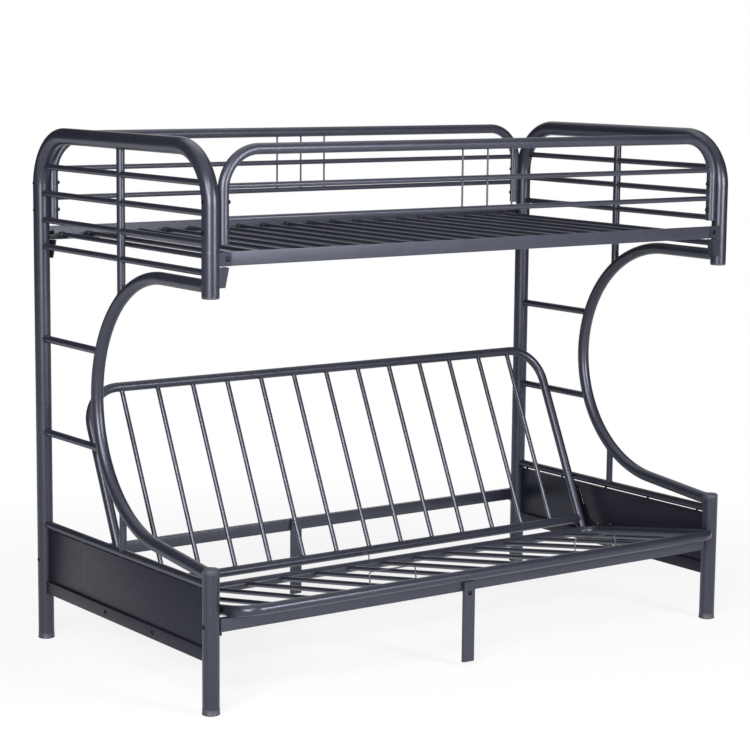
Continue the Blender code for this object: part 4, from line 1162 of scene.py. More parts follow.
@dataclass
class SidePanel(EndPart):
    """The side panel: sheet with a folded edge, slit with tabs, and both its rails."""

    bottom: float = 0.150
    slit: float = 0.0022
    sheet: float = 0.0016
    flange: float = 0.017
    bend: float = 0.003
    corner: float = 0.0022
    root: float = 0.004
    tab_width: float = 0.010
    tab_root: float = 0.004
    tab_shares: tuple[float, ...] = (0.060, 0.300, 0.515, 0.750, 0.945)

    @property
    def sheet_top(self) -> float:
        """Height of the sheet's folded edge."""
        return self.plan.panel_top - 2 * STOCK.panel_rail.radius - self.slit

    def sheet_outline(self, start: float, foot: float) -> Path:
        """Outline of the sheet's section: a wall whose upper edge folds inwards.

        Args:
            start: Depth of the section.
            foot: Height of its lower edge.

        Returns:
            The outline in order.
        """
        half, top = self.sheet / 2, self.sheet_top
        centre = yz(start, top - self.bend) + self.inward * (self.bend - half)
        outer = arc(centre, -self.inward, ALONG_Z, self.bend, (0, QUARTER), 6)
        inner = arc(centre, -self.inward, ALONG_Z, self.bend - self.sheet, (QUARTER, 0), 6)
        tip = [yz(start, z) + self.inward * self.flange for z in (top, top - self.sheet)]
        wall = [yz(start, foot) + self.inward * x for x in (half, -half)]
        return outer + tip + inner + wall

    def build(self) -> None:
        """Builds the panel as one piece."""
        # The sheet, its lower rail and its tabs take the darker panel coat, which paints shade.
        coat, rail = self.shop.panel_coat, self.plan.panel_rail
        start = STOCK.post.radius - self.root
        length = self.plan.spacing - 2 * start
        low = self.bottom + self.plan.tie_section[1] / 2
        section = rounded_section(yz(start, low), ALONG_X, ALONG_Z, self.plan.tie_section,
                                  self.corner)
        parts = [self.shop.tube([[yz(start, rail), yz(start + length, rail)]], STOCK.panel_rail,
                                self.shop.frame_coat),
                 plate(section, ALONG_Y * length, coat, Edge.ROLLED),
                 plate(self.sheet_outline(start, low), ALONG_Y * length, coat, Edge.ROLLED)]
        half = self.sheet / 2
        for share in self.tab_shares:
            near = share * self.plan.spacing - self.tab_width / 2
            parts.append(block(Vector((-half, near, self.sheet_top - self.tab_root)),
                               Vector((half, near + self.tab_width, rail)), coat, Edge.ROLLED))
        parts.append(self.outer_bolts(self.plan.tie_section[0] / 2,
                                      [(y, low) for y in self.plan.stud_plate_bolts]))
        beads = [saddle(yz(self.plan.depth(row), rail), ALONG_Y * row.value, STOCK.panel_rail,
                        ALONG_Z, STOCK.post) for row in Row]
        parts.append(self.shop.bead(beads, Weld.RUNG, self.shop.frame_coat))
        self.put("panel", parts, "side_panel", "panel_steel")


@dataclass
class EndFrame(EndPart):
    """One end: hoop, guard rungs, bent step tube, ladder rungs, posts, caps and side panel.

    The spigot in the bent tube's joint reaches an angle in radians to both sides.
    """

    hoop_height: float = 1.603
    hoop_bend: float = 0.160
    sleeve_top: float = 1.318
    sleeve_wall: float = 0.0003
    sleeve_lips: Pair = (0.0004, 0.0005)
    sleeve_ease: float = 0.0030
    guard_rungs: tuple[float, ...] = (1.505, 1.4223, 1.3396, 1.2569)
    ladder_rungs: Pair = (0.967, 0.670)
    upright_y: float = 0.500
    root: float = 0.004
    upright_root: float = 0.003
    strut_root: float = 0.006
    step_top: float = 1.220
    step_foot: float = 0.4043
    step_radius: float = 0.395
    step_centre: float = 0.258
    step_joint: float = 0.780
    step_root: float = 0.006
    spigot_angle: float = 0.05
    rung_root: float = 0.010
    joint_height: float = 0.760
    seam: float = 0.0007
    post_edge: float = 0.0005
    spigot_wall: float = 0.0016
    spigot: float = 0.010
    tie_rail_bolt: float = 0.257
    bolt_sink: float = 0.0010

    @property
    def step_middle(self) -> Vector:
        """Centre of the bent tube's arc."""
        return yz(self.step_centre, self.step_top - self.step_radius)

    @property
    def joint_angle(self) -> float:
        """Angle on the arc of the joint between the bent tube's halves."""
        return math.asin((self.step_joint - self.step_middle.z) / self.step_radius)

    def step_rise(self, depth: float) -> float:
        """Height of the bent tube's arc above or below its centre at a depth."""
        return math.sqrt(self.step_radius**2 - (depth - self.step_centre) ** 2)

    def step_depth(self, height: float) -> float:
        """Depth of the bent tube's axis at a height."""
        rise = height - self.step_middle.z
        return self.step_centre + math.sqrt(self.step_radius**2 - rise**2)

    def post_weld(self, height: float, thin: Round, row: Row) -> Path:
        """Line of weld where a level rung meets a post or the hoop's bend."""
        inset, lean = bend_at(height, self.hoop_height, self.hoop_bend)
        spot = yz(self.plan.depth(row) + row.inward * inset, height)
        return saddle(spot, ALONG_Y * row.value, thin,
                      yz(row.inward * math.sin(lean), math.cos(lean)), STOCK.post)

    def step_weld(self, spot: Vector, along: Vector, thin: Round) -> Path:
        """Line of weld where a rung, the upright or the strut meets the bent tube."""
        radial = (spot - self.step_middle).normalized()
        return saddle(spot, along, thin, ALONG_X.cross(radial), STOCK.step)

    def step_arc(self, start: float, end: float, steps: int = 56) -> Path:
        """Part of the bent tube's arc, between two angles."""
        return arc(self.step_middle, ALONG_Y, ALONG_Z, self.step_radius, (start, end), steps)

    def post_bolts(self, places: Sequence[Pair]) -> Mesh:
        """Socket heads on the outer side of the posts."""
        return self.outer_bolts(STOCK.post.radius - self.bolt_sink, places)

    def build_hoop(self) -> None:
        """Both upper posts and the bar over them, from one bent tube."""
        depth, radius = self.plan.spacing, STOCK.post.radius
        low, top = self.plan.hoop_front_end + self.plan.plug_height, self.sleeve_top
        path = rounded_path([yz(depth, self.joint_height + self.seam),
                             yz(depth, self.hoop_height), yz(0, self.hoop_height), yz(0, low)],
                            self.hoop_bend, steps=32)
        coat, wide = self.shop.frame_coat, radius + self.sleeve_wall
        first, last = self.sleeve_lips
        sleeve = [(low, radius), (low + first, wide), (low + self.sleeve_ease, wide),
                  (top - self.sleeve_ease, wide), (top - last, wide), (top, radius)]
        parts = [self.shop.tube([path], STOCK.post, coat),
                 turned(Vector(), ALONG_Z, sleeve, coat, STOCK.post.sides)]
        for row in Row:
            parts += RailBracket(self.shop, self.plan, self.side, row).parts()
        parts.append(self.post_bolts([(y, z) for y in (0, depth) for z in self.plan.guard_bolts]))
        self.put("hoop_tube", parts, "upper_hoop")

    def build_guard_rungs(self) -> None:
        """The upright and the rungs that close the end of the bunk, with their welds."""
        coat, y = self.shop.frame_coat, self.upright_y
        foot = yz(y, self.step_middle.z + self.step_rise(y))
        head = yz(y, self.hoop_height - STOCK.post.radius + self.upright_root)
        rungs, beads = [], []
        for height in self.guard_rungs:
            inset, _ = bend_at(height, self.hoop_height, self.hoop_bend)
            near = inset + STOCK.post.radius - self.root
            rungs.append([yz(near, height), yz(self.plan.spacing - near, height)])
            beads += [self.post_weld(height, STOCK.guard_rung, row) for row in Row]
            beads += [saddle(yz(y, height), ALONG_Y * sign, STOCK.guard_rung, ALONG_Z,
                             STOCK.upright) for sign in (-1, 1)]
        beads += [saddle(yz(y, self.hoop_height), ALONG_Z, STOCK.upright, ALONG_Y, STOCK.post),
                  self.step_weld(foot, -ALONG_Z, STOCK.upright)]
        self.put("guard_rungs", [self.shop.tube([[foot, head]], STOCK.upright, coat),
                                 self.shop.tube(rungs, STOCK.guard_rung, coat),
                                 self.shop.bead(beads, Weld.RUNG, coat)], "guard_grid")

    def ladder_rung(self, height: float, level: float) -> tuple[Mesh, list[Path]]:
        """A ladder rung at a height, and the weld lines of it and of the bent tube's end."""
        spot = yz(self.step_depth(height), height)
        far = self.plan.spacing - STOCK.post.radius + self.root
        rung = [spot + ALONG_Y * self.rung_root, yz(far, height)]
        beads = [self.step_weld(spot, -ALONG_Y, STOCK.ladder_rung),
                 self.post_weld(height, STOCK.ladder_rung, Row.REAR),
                 saddle(yz(0, level), -ALONG_Y, STOCK.step, ALONG_Z, STOCK.post)]
        return self.shop.tube([rung], STOCK.ladder_rung, self.shop.frame_coat), beads

    def build_upper_step(self) -> None:
        """The upper half of the bent tube and the upper ladder rung."""
        coat = self.shop.frame_coat
        path = [yz(STOCK.post.radius - self.step_root, self.step_top)]
        path += self.step_arc(QUARTER, self.joint_angle + self.seam / self.step_radius)
        tube = self.shop.tube([path], STOCK.step, coat)
        rung, beads = self.ladder_rung(self.ladder_rungs[0], self.step_top)
        self.put("upper_step_tube", [tube, rung, self.shop.bead(beads, Weld.STEP, coat)],
                 "upper_step_frame")

    def build_lower_step(self) -> None:
        """The lower half of the bent tube, its spigot, the lower rung and the strut."""
        coat, y = self.shop.frame_coat, self.upright_y
        fall = self.step_middle.z - self.step_foot
        foot = math.acos(self.step_radius / math.hypot(fall, self.step_centre))
        end = foot - math.atan2(self.step_centre, fall) - QUARTER
        path = self.step_arc(self.joint_angle - self.seam / self.step_radius, end)
        path.append(yz(STOCK.post.radius - self.step_root, self.step_foot))
        spigot = self.step_arc(self.joint_angle + self.spigot_angle,
                               self.joint_angle - self.spigot_angle, 8)
        base, top = yz(y, self.plan.panel_rail), yz(y, self.step_middle.z - self.step_rise(y))
        strut = [base + ALONG_Z * self.strut_root, top - ALONG_Z * self.root]
        tubes = [self.shop.tube([path], STOCK.step, coat),
                 self.shop.tube([spigot], STOCK.spigot, coat)]
        rung, beads = self.ladder_rung(self.ladder_rungs[1], self.step_foot)
        beads += [self.step_weld(top, ALONG_Z, STOCK.strut),
                  saddle(base, -ALONG_Z, STOCK.strut, ALONG_Y, STOCK.panel_rail)]
        self.put("lower_step_tube", [*tubes, rung, self.shop.tube([strut], STOCK.strut, coat),
                                     self.shop.bead(beads, Weld.STEP, coat)],
                 "lower_step_frame")

    def build_posts(self) -> None:
        """The back post with its spigot, the short front post, and their bolts."""
        radius, base = STOCK.post.radius, self.plan.foot_height - self.root
        top = self.joint_height - self.seam
        neck = radius - self.spigot_wall
        back = [(base, radius), (top - self.post_edge, radius), (top, radius - self.post_edge),
                (top, neck), (top + self.spigot, neck)]
        front = [(base, radius), (self.plan.front_post_top - self.plan.dome_height, radius)]
        for name, depth, profile in (("back_post", self.plan.spacing, back),
                                     ("front_post", 0, front)):
            self.put(f"{name}_tube", [turned(yz(depth, 0), ALONG_Z, profile,
                                             self.shop.frame_coat, STOCK.post.sides),
                                      self.post_bolts([(depth, self.tie_rail_bolt)])], name)

    def build(self) -> None:
        """Builds the whole end."""
        self.build_hoop()
        self.build_guard_rungs()
        self.build_upper_step()
        self.build_lower_step()
        self.build_posts()
        PostCaps(self.shop, self.plan, self.side).build()
        SidePanel(self.shop, self.plan, self.side).build()


# Bunk and lower rails


@dataclass
class Deck:
    """The bunk's deck: two angle rails and twenty round slats in plastic holders."""

    shop: Shop
    plan: BedPlan
    wall: float = 0.0025
    fillet: float = 0.0015
    gap: float = 0.0003
    half_length: float = 0.9425
    slat_count: int = 20
    slat_pitch: float = 0.0942
    slat_root: float = 0.008
    holder_radius: float = 0.00925
    holder_length: float = 0.016
    holder_mouth: tuple[Pair, ...] = (
        (0.0, 0.0010), (0.0008, 0.0), (0.0034, 0.0), (0.0042, 0.0006))
    holder_end: tuple[Pair, ...] = (
        (-0.0040, 0.0006), (-0.0032, 0.0), (-0.0010, 0.0), (0.0, 0.0012))
    holder_setback: float = 0.0006

    def face(self, row: Row) -> float:
        """Depth of a rail's outer face."""
        return self.plan.depth(row) + row.inward * (self.gap - self.plan.rail_plane)

    def rail_outline(self, row: Row) -> Path:
        """Outline of the angle section, with a round heel and a fillet inside."""
        inward, wall, leg = ALONG_Y * row.inward, self.wall, self.plan.rail_leg
        origin = Vector((-self.half_length, self.face(row), self.plan.rail_bottom))

        def at(reach: float, rise: float) -> Vector:
            """A point of the section, measured inwards and upwards from its heel."""
            return origin + inward * reach + ALONG_Z * rise

        inner = at(wall + self.fillet, wall + self.fillet)
        outline = [at(0, leg), at(wall, leg)]
        outline += arc(inner, -inward, -ALONG_Z, self.fillet, (0, QUARTER), 4)
        outline += [at(leg, wall), at(leg, 0)]
        return outline + arc(at(wall, wall), -ALONG_Z, -inward, wall, (0, QUARTER), 4)

    def build_rails(self) -> None:
        """Both side rails with the nuts of their end bolts."""
        for row in Row:
            rail = plate(self.rail_outline(row), ALONG_X * 2 * self.half_length,
                         self.shop.rail_coat, Edge.ROLLED)
            depth = self.face(row) + row.inward * self.wall
            reach = self.plan.end_x - self.plan.rail_bolt
            nuts = [(Vector((sign * reach, depth, self.plan.rail_middle)), ALONG_Y * row.inward)
                    for sign in (-1, 1)]
            parts = [rail, self.shop.bolts(Head.NUT, nuts, self.shop.blackened)]
            assemble(f"{row.word}_deck_rail", parts, self.plan.bed(), "bed_frame",
                     [f"{row.word}_upper_side_rail"])

    def build_slats(self) -> None:
        """All slats as one piece, and their plastic holders as another."""
        margin = self.gap + self.wall + self.gap - self.plan.rail_plane
        height = self.plan.rail_bottom + self.wall + self.gap + self.holder_radius
        places = spread(self.slat_count, self.slat_pitch)
        near = margin + self.holder_length - self.slat_root
        slats = self.shop.row(Vector((places[0], near, height)), ALONG_X * self.slat_pitch,
                              ALONG_Y * (self.plan.spacing - 2 * near), self.slat_count,
                              STOCK.deck_slat, self.shop.slat_coat)
        names = [f"deck_slat_{index + 1:02d}" for index in range(self.slat_count)]
        assemble("deck_slats", [slats], self.plan.bed(), "bed_frame", names)
        holders = [part for x in places for row in Row for part in self.holder_parts(
            Vector((x, self.plan.depth(row) + row.inward * margin, height)), row)]
        assemble("deck_slat_holders", holders, self.plan.bed(), "bed_frame", [])

    def holder_parts(self, base: Vector, row: Row) -> list[Mesh]:
        """One holder: a turned socket for the slat on a flat foot."""
        radius, inward = self.holder_radius, ALONG_Y * row.inward
        profile = rings(0, radius, self.holder_mouth) + rings(self.holder_length, radius,
                                                              self.holder_end)
        wide = ALONG_X * radius
        foot = block(base - wide + inward * self.holder_setback - ALONG_Z * radius,
                     base + wide + inward * (self.holder_length - self.holder_setback),
                     self.shop.holder_plastic, Edge.MOULDED)
        return [turned(base, inward, profile, self.shop.holder_plastic, 20), foot]

    def build(self) -> None:
        """Builds the deck."""
        self.build_rails()
        self.build_slats()


@dataclass
class GuardRails:
    """The front and rear guard rails of the bunk."""

    shop: Shop
    plan: BedPlan
    leg_x: float = 0.9312
    top: float = 1.598
    foot: float = 1.334
    bend: float = 0.115
    bars: Pair = (1.497, 1.406)
    bar_root: float = 0.003
    wire_count: int = 3
    wire_pitch: float = 0.095
    wire_root: float = 0.004
    cap: float = 0.0022
    cap_edge: tuple[Pair, ...] = (
        (-0.0022, 0.0022), (-0.0010, 0.0008), (0.0006, 0.0002), (0.004, 0.0004))
    nut_lift: float = 0.0004

    def build(self) -> None:
        """Builds both rails."""
        for row in Row:
            self.build_rail(row)

    def build_rail(self, row: Row) -> None:
        """Builds one rail: a bent tube, its bars, wires, welds, nuts and end caps."""
        coat, depth, foot = self.shop.rail_coat, self.plan.depth(row), self.foot + self.cap
        radius = STOCK.guard_rail.radius
        hoop = rounded_path([Vector((x, depth, z)) for x, z in (
            (-self.leg_x, foot), (-self.leg_x, self.top), (self.leg_x, self.top),
            (self.leg_x, foot))], self.bend, steps=28)
        bars, beads = [], []
        for height in self.bars:
            inset, lean = bend_at(height, self.top, self.bend)
            reach = self.leg_x - inset - radius + self.bar_root
            bars.append([Vector((x, depth, height)) for x in (-reach, reach)])
            beads += [saddle(Vector((sign * (self.leg_x - inset), depth, height)),
                             ALONG_X * sign, STOCK.guard_bar,
                             Vector((-sign * math.sin(lean), 0, math.cos(lean))),
                             STOCK.guard_rail) for sign in (-1, 1)]
        places = spread(self.wire_count, self.wire_pitch)
        low = self.bars[-1]
        wires = self.shop.row(Vector((places[0], depth, low)), ALONG_X * self.wire_pitch,
                              ALONG_Z * (self.top - low - self.wire_root), self.wire_count,
                              STOCK.guard_wire, coat)
        dots = [saddle(Vector((x, depth, self.top)), ALONG_Z, STOCK.guard_wire, ALONG_X,
                       STOCK.guard_rail, 12) for x in places]
        reach = self.leg_x - radius + self.nut_lift
        nuts = [(Vector((sign * reach, depth, z)), ALONG_X * -sign)
                for sign in (-1, 1) for z in self.plan.guard_bolts]
        caps = [turned(Vector((sign * self.leg_x, depth, foot)), ALONG_Z,
                       rings(0, radius, self.cap_edge), self.shop.plastic, 32)
                for sign in (-1, 1)]
        parts = [self.shop.tube([hoop], STOCK.guard_rail, coat),
                 self.shop.tube(bars, STOCK.guard_bar, coat), wires,
                 self.shop.bead(beads, Weld.BAR, coat), self.shop.bead(dots, Weld.WIRE, coat),
                 self.shop.bolts(Head.NUT, nuts, self.shop.blackened), *caps]
        assemble(f"{row.word}_guard_hoop", parts, self.plan.bed(), "bed_frame",
                 [f"{row.word}_guard_rail"])


@dataclass
class LowerRails:
    """The rails that tie the ends together under the sofa, and the legs at their middle.

    Each leg is its row, its middle along the bed and its top.
    """

    shop: Shop
    plan: BedPlan
    top: float = 0.277
    corner: float = 0.003
    gap: float = 0.0003
    end_plate: tuple[float, float, float] = (0.003, 0.026, 0.050)
    end_plate_rise: float = 0.001
    legs: tuple[tuple[Row, float, float], ...] = (
        (Row.FRONT, -0.0585, 0.268), (Row.REAR, -0.0235, 0.280))
    leg_section: Pair = (0.041, 0.0125)
    leg_corner: float = 0.0016
    leg_foot: float = 0.016
    leg_bolt: float = 0.2315

    def build(self) -> None:
        """Builds both rails and both middle legs."""
        for row, x, top in self.legs:
            self.build_rail(row)
            self.build_leg(row, x, top)

    def build_rail(self, row: Row) -> None:
        """Builds one rail with its end plates."""
        coat, depth = self.shop.rail_coat, self.plan.depth(row)
        half = self.plan.end_x - STOCK.post.radius - self.gap
        tall = self.plan.tie_section[1]
        section = rounded_section(Vector((-half, depth, self.top - tall / 2)), ALONG_Y, ALONG_Z,
                                  self.plan.tie_section, self.corner)
        parts = [plate(section, ALONG_X * 2 * half, coat, Edge.ROLLED)]
        thick, wide, high = self.end_plate
        top = self.top + self.end_plate_rise
        parts += [block(Vector((sign * half, depth - wide / 2, top - high)),
                        Vector((sign * (half - thick), depth + wide / 2, top)), coat, Edge.SAWN)
                  for sign in (-1, 1)]
        assemble(f"{row.word}_tie_rail", parts, self.plan.bed(), "bed_frame",
                 [f"{row.word}_lower_rail"])

    def build_leg(self, row: Row, x: float, top: float) -> None:
        """Builds one middle leg with its bolt.

        Args:
            row: Front or rear.
            x: Middle of the leg along the bed.
            top: Height of the leg's upper end.
        """
        rear_face = self.plan.depth(row) - self.plan.tie_section[0] / 2 - self.gap
        thick = self.leg_section[1]
        section = rounded_section(Vector((x, rear_face - thick / 2, self.leg_foot)), ALONG_X,
                                  ALONG_Y, self.leg_section, self.leg_corner)
        leg = plate(section, ALONG_Z * (top - self.leg_foot), self.shop.rail_coat)
        bolt = (Vector((x, rear_face - thick, self.leg_bolt)), -ALONG_Y)
        head = self.shop.bolts(Head.SOCKET, [bolt], self.shop.blackened)
        assemble(f"{row.word}_middle_leg", [leg, head], self.plan.bed(), "bed_frame",
                 [f"{row.word}_centre_leg"])


# Sofa


@dataclass(frozen=True)
class SofaPlan:
    """The pivot of the sofa, how many degrees its seat and back lean, and its slats."""

    pivot: Vector
    anchor: Vector
    tilt: float = 9.06
    recline: float = 25.0
    seat_x: float = 0.914
    back_x: float = 0.9135
    slat_count: int = 13
    slat_pitch: float = 0.130

    @classmethod
    def from_frame(cls, plan: BedPlan) -> "SofaPlan":
        """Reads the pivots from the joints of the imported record."""
        spots = {}
        for joint in frame["record"]["behaviour"]["joints"]:
            _, y, z = joint["pos_m"]
            spots[joint["name"]] = yz(y - plan.front_y, z)
        return cls(spots["back_fold"], spots["link_swing"])

    def placed(self, plan: BedPlan, angle: float) -> Matrix:
        """From a part's flat coordinates about the pivot to the frame's."""
        turn = Matrix.Rotation(math.radians(angle), 4, "X")
        return plan.bed() @ Matrix.Translation(self.pivot) @ turn

    def slats(self, shop: Shop, near: float, far: float, height: float) -> Mesh:
        """The row of slats between two tubes."""
        start = Vector((spread(self.slat_count, self.slat_pitch)[0], near, height))
        return shop.row(start, ALONG_X * self.slat_pitch, ALONG_Y * (far - near),
                        self.slat_count, STOCK.sofa_slat, shop.glossy_coat)

    def slat_welds(self, near: float, far: float, height: float, host: Round) -> list[Path]:
        """Weld lines at both ends of every slat.

        Args:
            near: Depth of the first tube.
            far: Depth of the second tube.
            height: Height of both tubes.
            host: Their size.

        Returns:
            The lines.
        """
        toward = 1 if far > near else -1
        return [saddle(Vector((x, depth, height)), ALONG_Y * sign, STOCK.sofa_slat, ALONG_X,
                       host, 20)
                for x in spread(self.slat_count, self.slat_pitch)
                for depth, sign in ((near, -toward), (far, toward))]


@dataclass
class SofaSeat:
    """The seat: a closed tube loop with slats, mattress wires and hinge plates."""

    shop: Shop
    plan: BedPlan
    sofa: SofaPlan
    rear: float = 0.0406
    depth: float = 0.6228
    drop: float = 0.0166
    corner: float = 0.060
    stop_x: float = 0.395
    stop_width: float = 0.167
    stop_height: float = 0.040
    stop_bend: float = 0.009
    hook_x: float = -0.040
    hook_height: float = 0.022
    hook_reach: float = 0.022
    hook_bend: float = 0.008
    plate_inner: float = 0.0437
    plate_wall: float = 0.003
    plate_length: float = 0.165
    plate_end: float = 0.014
    gusset_height: float = 0.072
    gusset_reach: float = 0.070
    gusset_front: float = 0.013
    gusset_rear: float = 0.018
    plate_bolts: tuple[Pair, ...] = ((-0.068, -0.002), (-0.131, 0.0))
    tip_rises: Pair = (0.0055, 0.0015)
    seam_span: Pair = (-0.075, -0.150)
    seam_drop: float = 0.0022
    seam_lift: float = 0.0006

    @property
    def front(self) -> float:
        """Distance of the front tube's axis from the pivot."""
        return self.rear + self.depth

    @property
    def top(self) -> float:
        """Height of the tubes' upper side over the pivot."""
        return STOCK.seat.radius - self.drop

    def bent_wire(self, corners: Sequence[Pair], ahead: float, bend: float) -> Path:
        """The path of a wire that stands ahead of the pivot, from its corners in X and Z."""
        return rounded_path([Vector((x, -ahead, z)) for x, z in corners], bend, steps=10)

    def wires(self) -> list[Path]:
        """Paths of both mattress stops on the front tube and of the hook on the rear one."""
        foot, half = -self.drop, self.stop_width / 2
        high = self.top + self.stop_height
        paths = [self.bent_wire([(middle - half, foot), (middle - half, high),
                                 (middle + half, high), (middle + half, foot)],
                                self.front, self.stop_bend)
                 for middle in (-self.stop_x, self.stop_x)]
        high = self.top + self.hook_height
        paths.append(self.bent_wire([(self.hook_x, foot), (self.hook_x, high),
                                     (self.hook_x - self.hook_reach, high)],
                                    self.rear, self.hook_bend))
        return paths

    def hinge_outline(self) -> Path:
        """Outline of the hinge plate in a plane across X."""
        outline = arc(Vector(), ALONG_Y, ALONG_Z, self.plate_end, (-QUARTER, 0), 12)
        outline.append(yz(self.gusset_rear, self.gusset_height))
        span = self.gusset_reach - self.gusset_front
        outline += [yz(-self.gusset_reach + span * math.cos(QUARTER * share),
                       self.gusset_height * (1 - math.sin(QUARTER * share)))
                    for share in shares(20)]
        toe = yz(-self.plate_length, -self.drop)
        return outline + arc(toe, -ALONG_Y, -ALONG_Z, self.plate_end, (-QUARTER, QUARTER), 16)

    def hinge_parts(self, side: Side) -> list[Mesh]:
        """The hinge plate of one side with its bolts and its weld on the tube."""
        # The hinge plate takes the near-black link coat, whose darkness is partly painted shade.
        coat, out = self.shop.link_coat, ALONG_X * side.value
        inner = out * (self.plan.end_x - self.plate_inner)
        outer = inner + out * self.plate_wall
        bolts = [(outer + yz(*place), out) for place in self.plate_bolts]
        bolts += [(inner + yz(y, z + rise), -out)
                  for (y, z), rise in zip(self.plate_bolts, self.tip_rises)]
        seam = [outer + out * self.seam_lift + yz(y, self.top - self.seam_drop)
                for y in self.seam_span]
        return [plate([point + inner for point in self.hinge_outline()], outer - inner, coat),
                self.shop.bolts(Head.RIVET, bolts, self.shop.wire),
                self.shop.tube([seam], STOCK.plate_seam, coat)]

    def build(self) -> None:
        """Builds the seat as one piece."""
        coat, x = self.shop.frame_coat, self.sofa.seat_x
        corners = [Vector((a, b, -self.drop)) for a, b in (
            (-x, -self.rear), (-x, -self.front), (x, -self.front), (x, -self.rear))]
        loop = rounded_path(corners, self.corner, closed=True, steps=20)
        run = (-self.rear, -self.front, -self.drop)
        parts = [self.shop.tube([loop], STOCK.seat, coat, closed=True),
                 self.sofa.slats(self.shop, *run),
                 self.shop.bead(self.sofa.slat_welds(*run, STOCK.seat), Weld.SLAT, coat),
                 self.shop.tube(self.wires(), STOCK.wire, self.shop.wire)]
        for side in Side:
            parts += self.hinge_parts(side)
        assemble("seat", parts, self.sofa.placed(self.plan, -self.sofa.tilt), "seat",
                 ["seat_frame"])


@dataclass
class SofaBack:
    """The back: a bent tube closed by a bottom tube, with slats and flat bars outside."""

    shop: Shop
    plan: BedPlan
    sofa: SofaPlan
    bottom: float = 0.0242
    length: float = 0.632
    corner: float = 0.120
    tail: float = 0.018
    root: float = 0.003
    stud_rise: float = 0.016
    stud_sink: float = 0.0008
    bar_length: float = 0.128
    bar_end: float = 0.011
    bar_nose: float = 0.014
    bar_half_width: float = 0.0180
    bar_corner: float = 0.006
    bar_waist: float = 0.030
    bar_outer: float = 0.0374
    bar_inner: float = 0.0404
    edge_sink: float = 0.0004
    boss: float = 0.007
    boss_end: float = 0.045
    boss_root: float = 0.001

    def build(self) -> None:
        """Builds the back and both of its flat bars."""
        coat, x, tube = self.shop.frame_coat, self.sofa.back_x, STOCK.back
        top = self.bottom + self.length
        hoop = rounded_path([Vector((a, b, 0)) for a, b in (
            (-x, -self.tail), (-x, top), (x, top), (x, -self.tail))], self.corner, steps=28)
        reach = x - tube.radius + self.root
        bottom = [Vector((end, self.bottom, 0)) for end in (-reach, reach)]
        lines = self.sofa.slat_welds(self.bottom, top, 0, tube)
        joints = [saddle(Vector((sign * x, self.bottom, 0)), ALONG_X * sign, STOCK.back_bottom,
                         ALONG_Y, tube) for sign in (-1, 1)]
        skin = x - tube.radius + self.stud_sink
        studs = [(Vector((sign * skin, self.stud_rise, 0)), ALONG_X * -sign)
                 for sign in (-1, 1)]
        parts = [self.shop.tube([hoop], tube, coat),
                 self.shop.tube([bottom], STOCK.back_bottom, coat),
                 self.sofa.slats(self.shop, self.bottom, top, 0),
                 self.shop.bead(lines, Weld.SLAT, coat), self.shop.bead(joints, Weld.TUBE, coat),
                 self.shop.bolts(Head.SOCKET, studs, self.shop.plated)]
        place = self.sofa.placed(self.plan, 90 - self.sofa.recline)
        assemble("back", parts, place, "back", ["back_frame"])
        for side in Side:
            self.build_bar(side, place)

    def bar_outline(self) -> Path:
        """Outline of the flat bar: round at the pivot, wide along the tube."""
        wide, waist, end = self.bar_half_width, self.bar_waist, self.bar_length + self.bar_end
        nose = arc(Vector(), -ALONG_Y, -ALONG_Z, self.bar_nose, (-QUARTER, QUARTER), 16)
        return nose + rounded_path([yz(waist, -wide), yz(end, -wide), yz(end, wide),
                                    yz(waist, wide)], self.bar_corner, steps=6)

    def build_bar(self, side: Side, place: Matrix) -> None:
        """Builds the flat bar outside one side tube, with a lighter steel strip along its upper
        edge as a painted highlight.
        """
        out = ALONG_X * side.value
        outer = out * (self.plan.end_x - self.bar_outer)
        inner = out * (self.plan.end_x - self.bar_inner)
        far = yz(self.bar_length, 0)
        bar = plate([point + outer for point in self.bar_outline()], inner - outer,
                    self.shop.link_coat, Edge.FILED)
        # A thin strip of lighter steel along the upper edge: a painted highlight.
        edge = [yz(y, self.bar_half_width - self.edge_sink) + inner
                for y in (self.bar_waist, self.bar_length + self.bar_end - self.bar_corner)]
        boss = turned(inner + far, -out, [(-self.boss_root, self.boss),
                                          (self.boss_end - self.bar_inner, self.boss)],
                      self.shop.gear_coat, 24)
        parts = [bar, self.shop.tube([edge], STOCK.bright_edge, self.shop.wire), boss,
                 self.shop.bolts(Head.RIVET, [(far + outer, out)], self.shop.blackened)]
        assemble(f"{side.word}_back_bar", parts, place, "back", [f"{side.word}_back_link"])


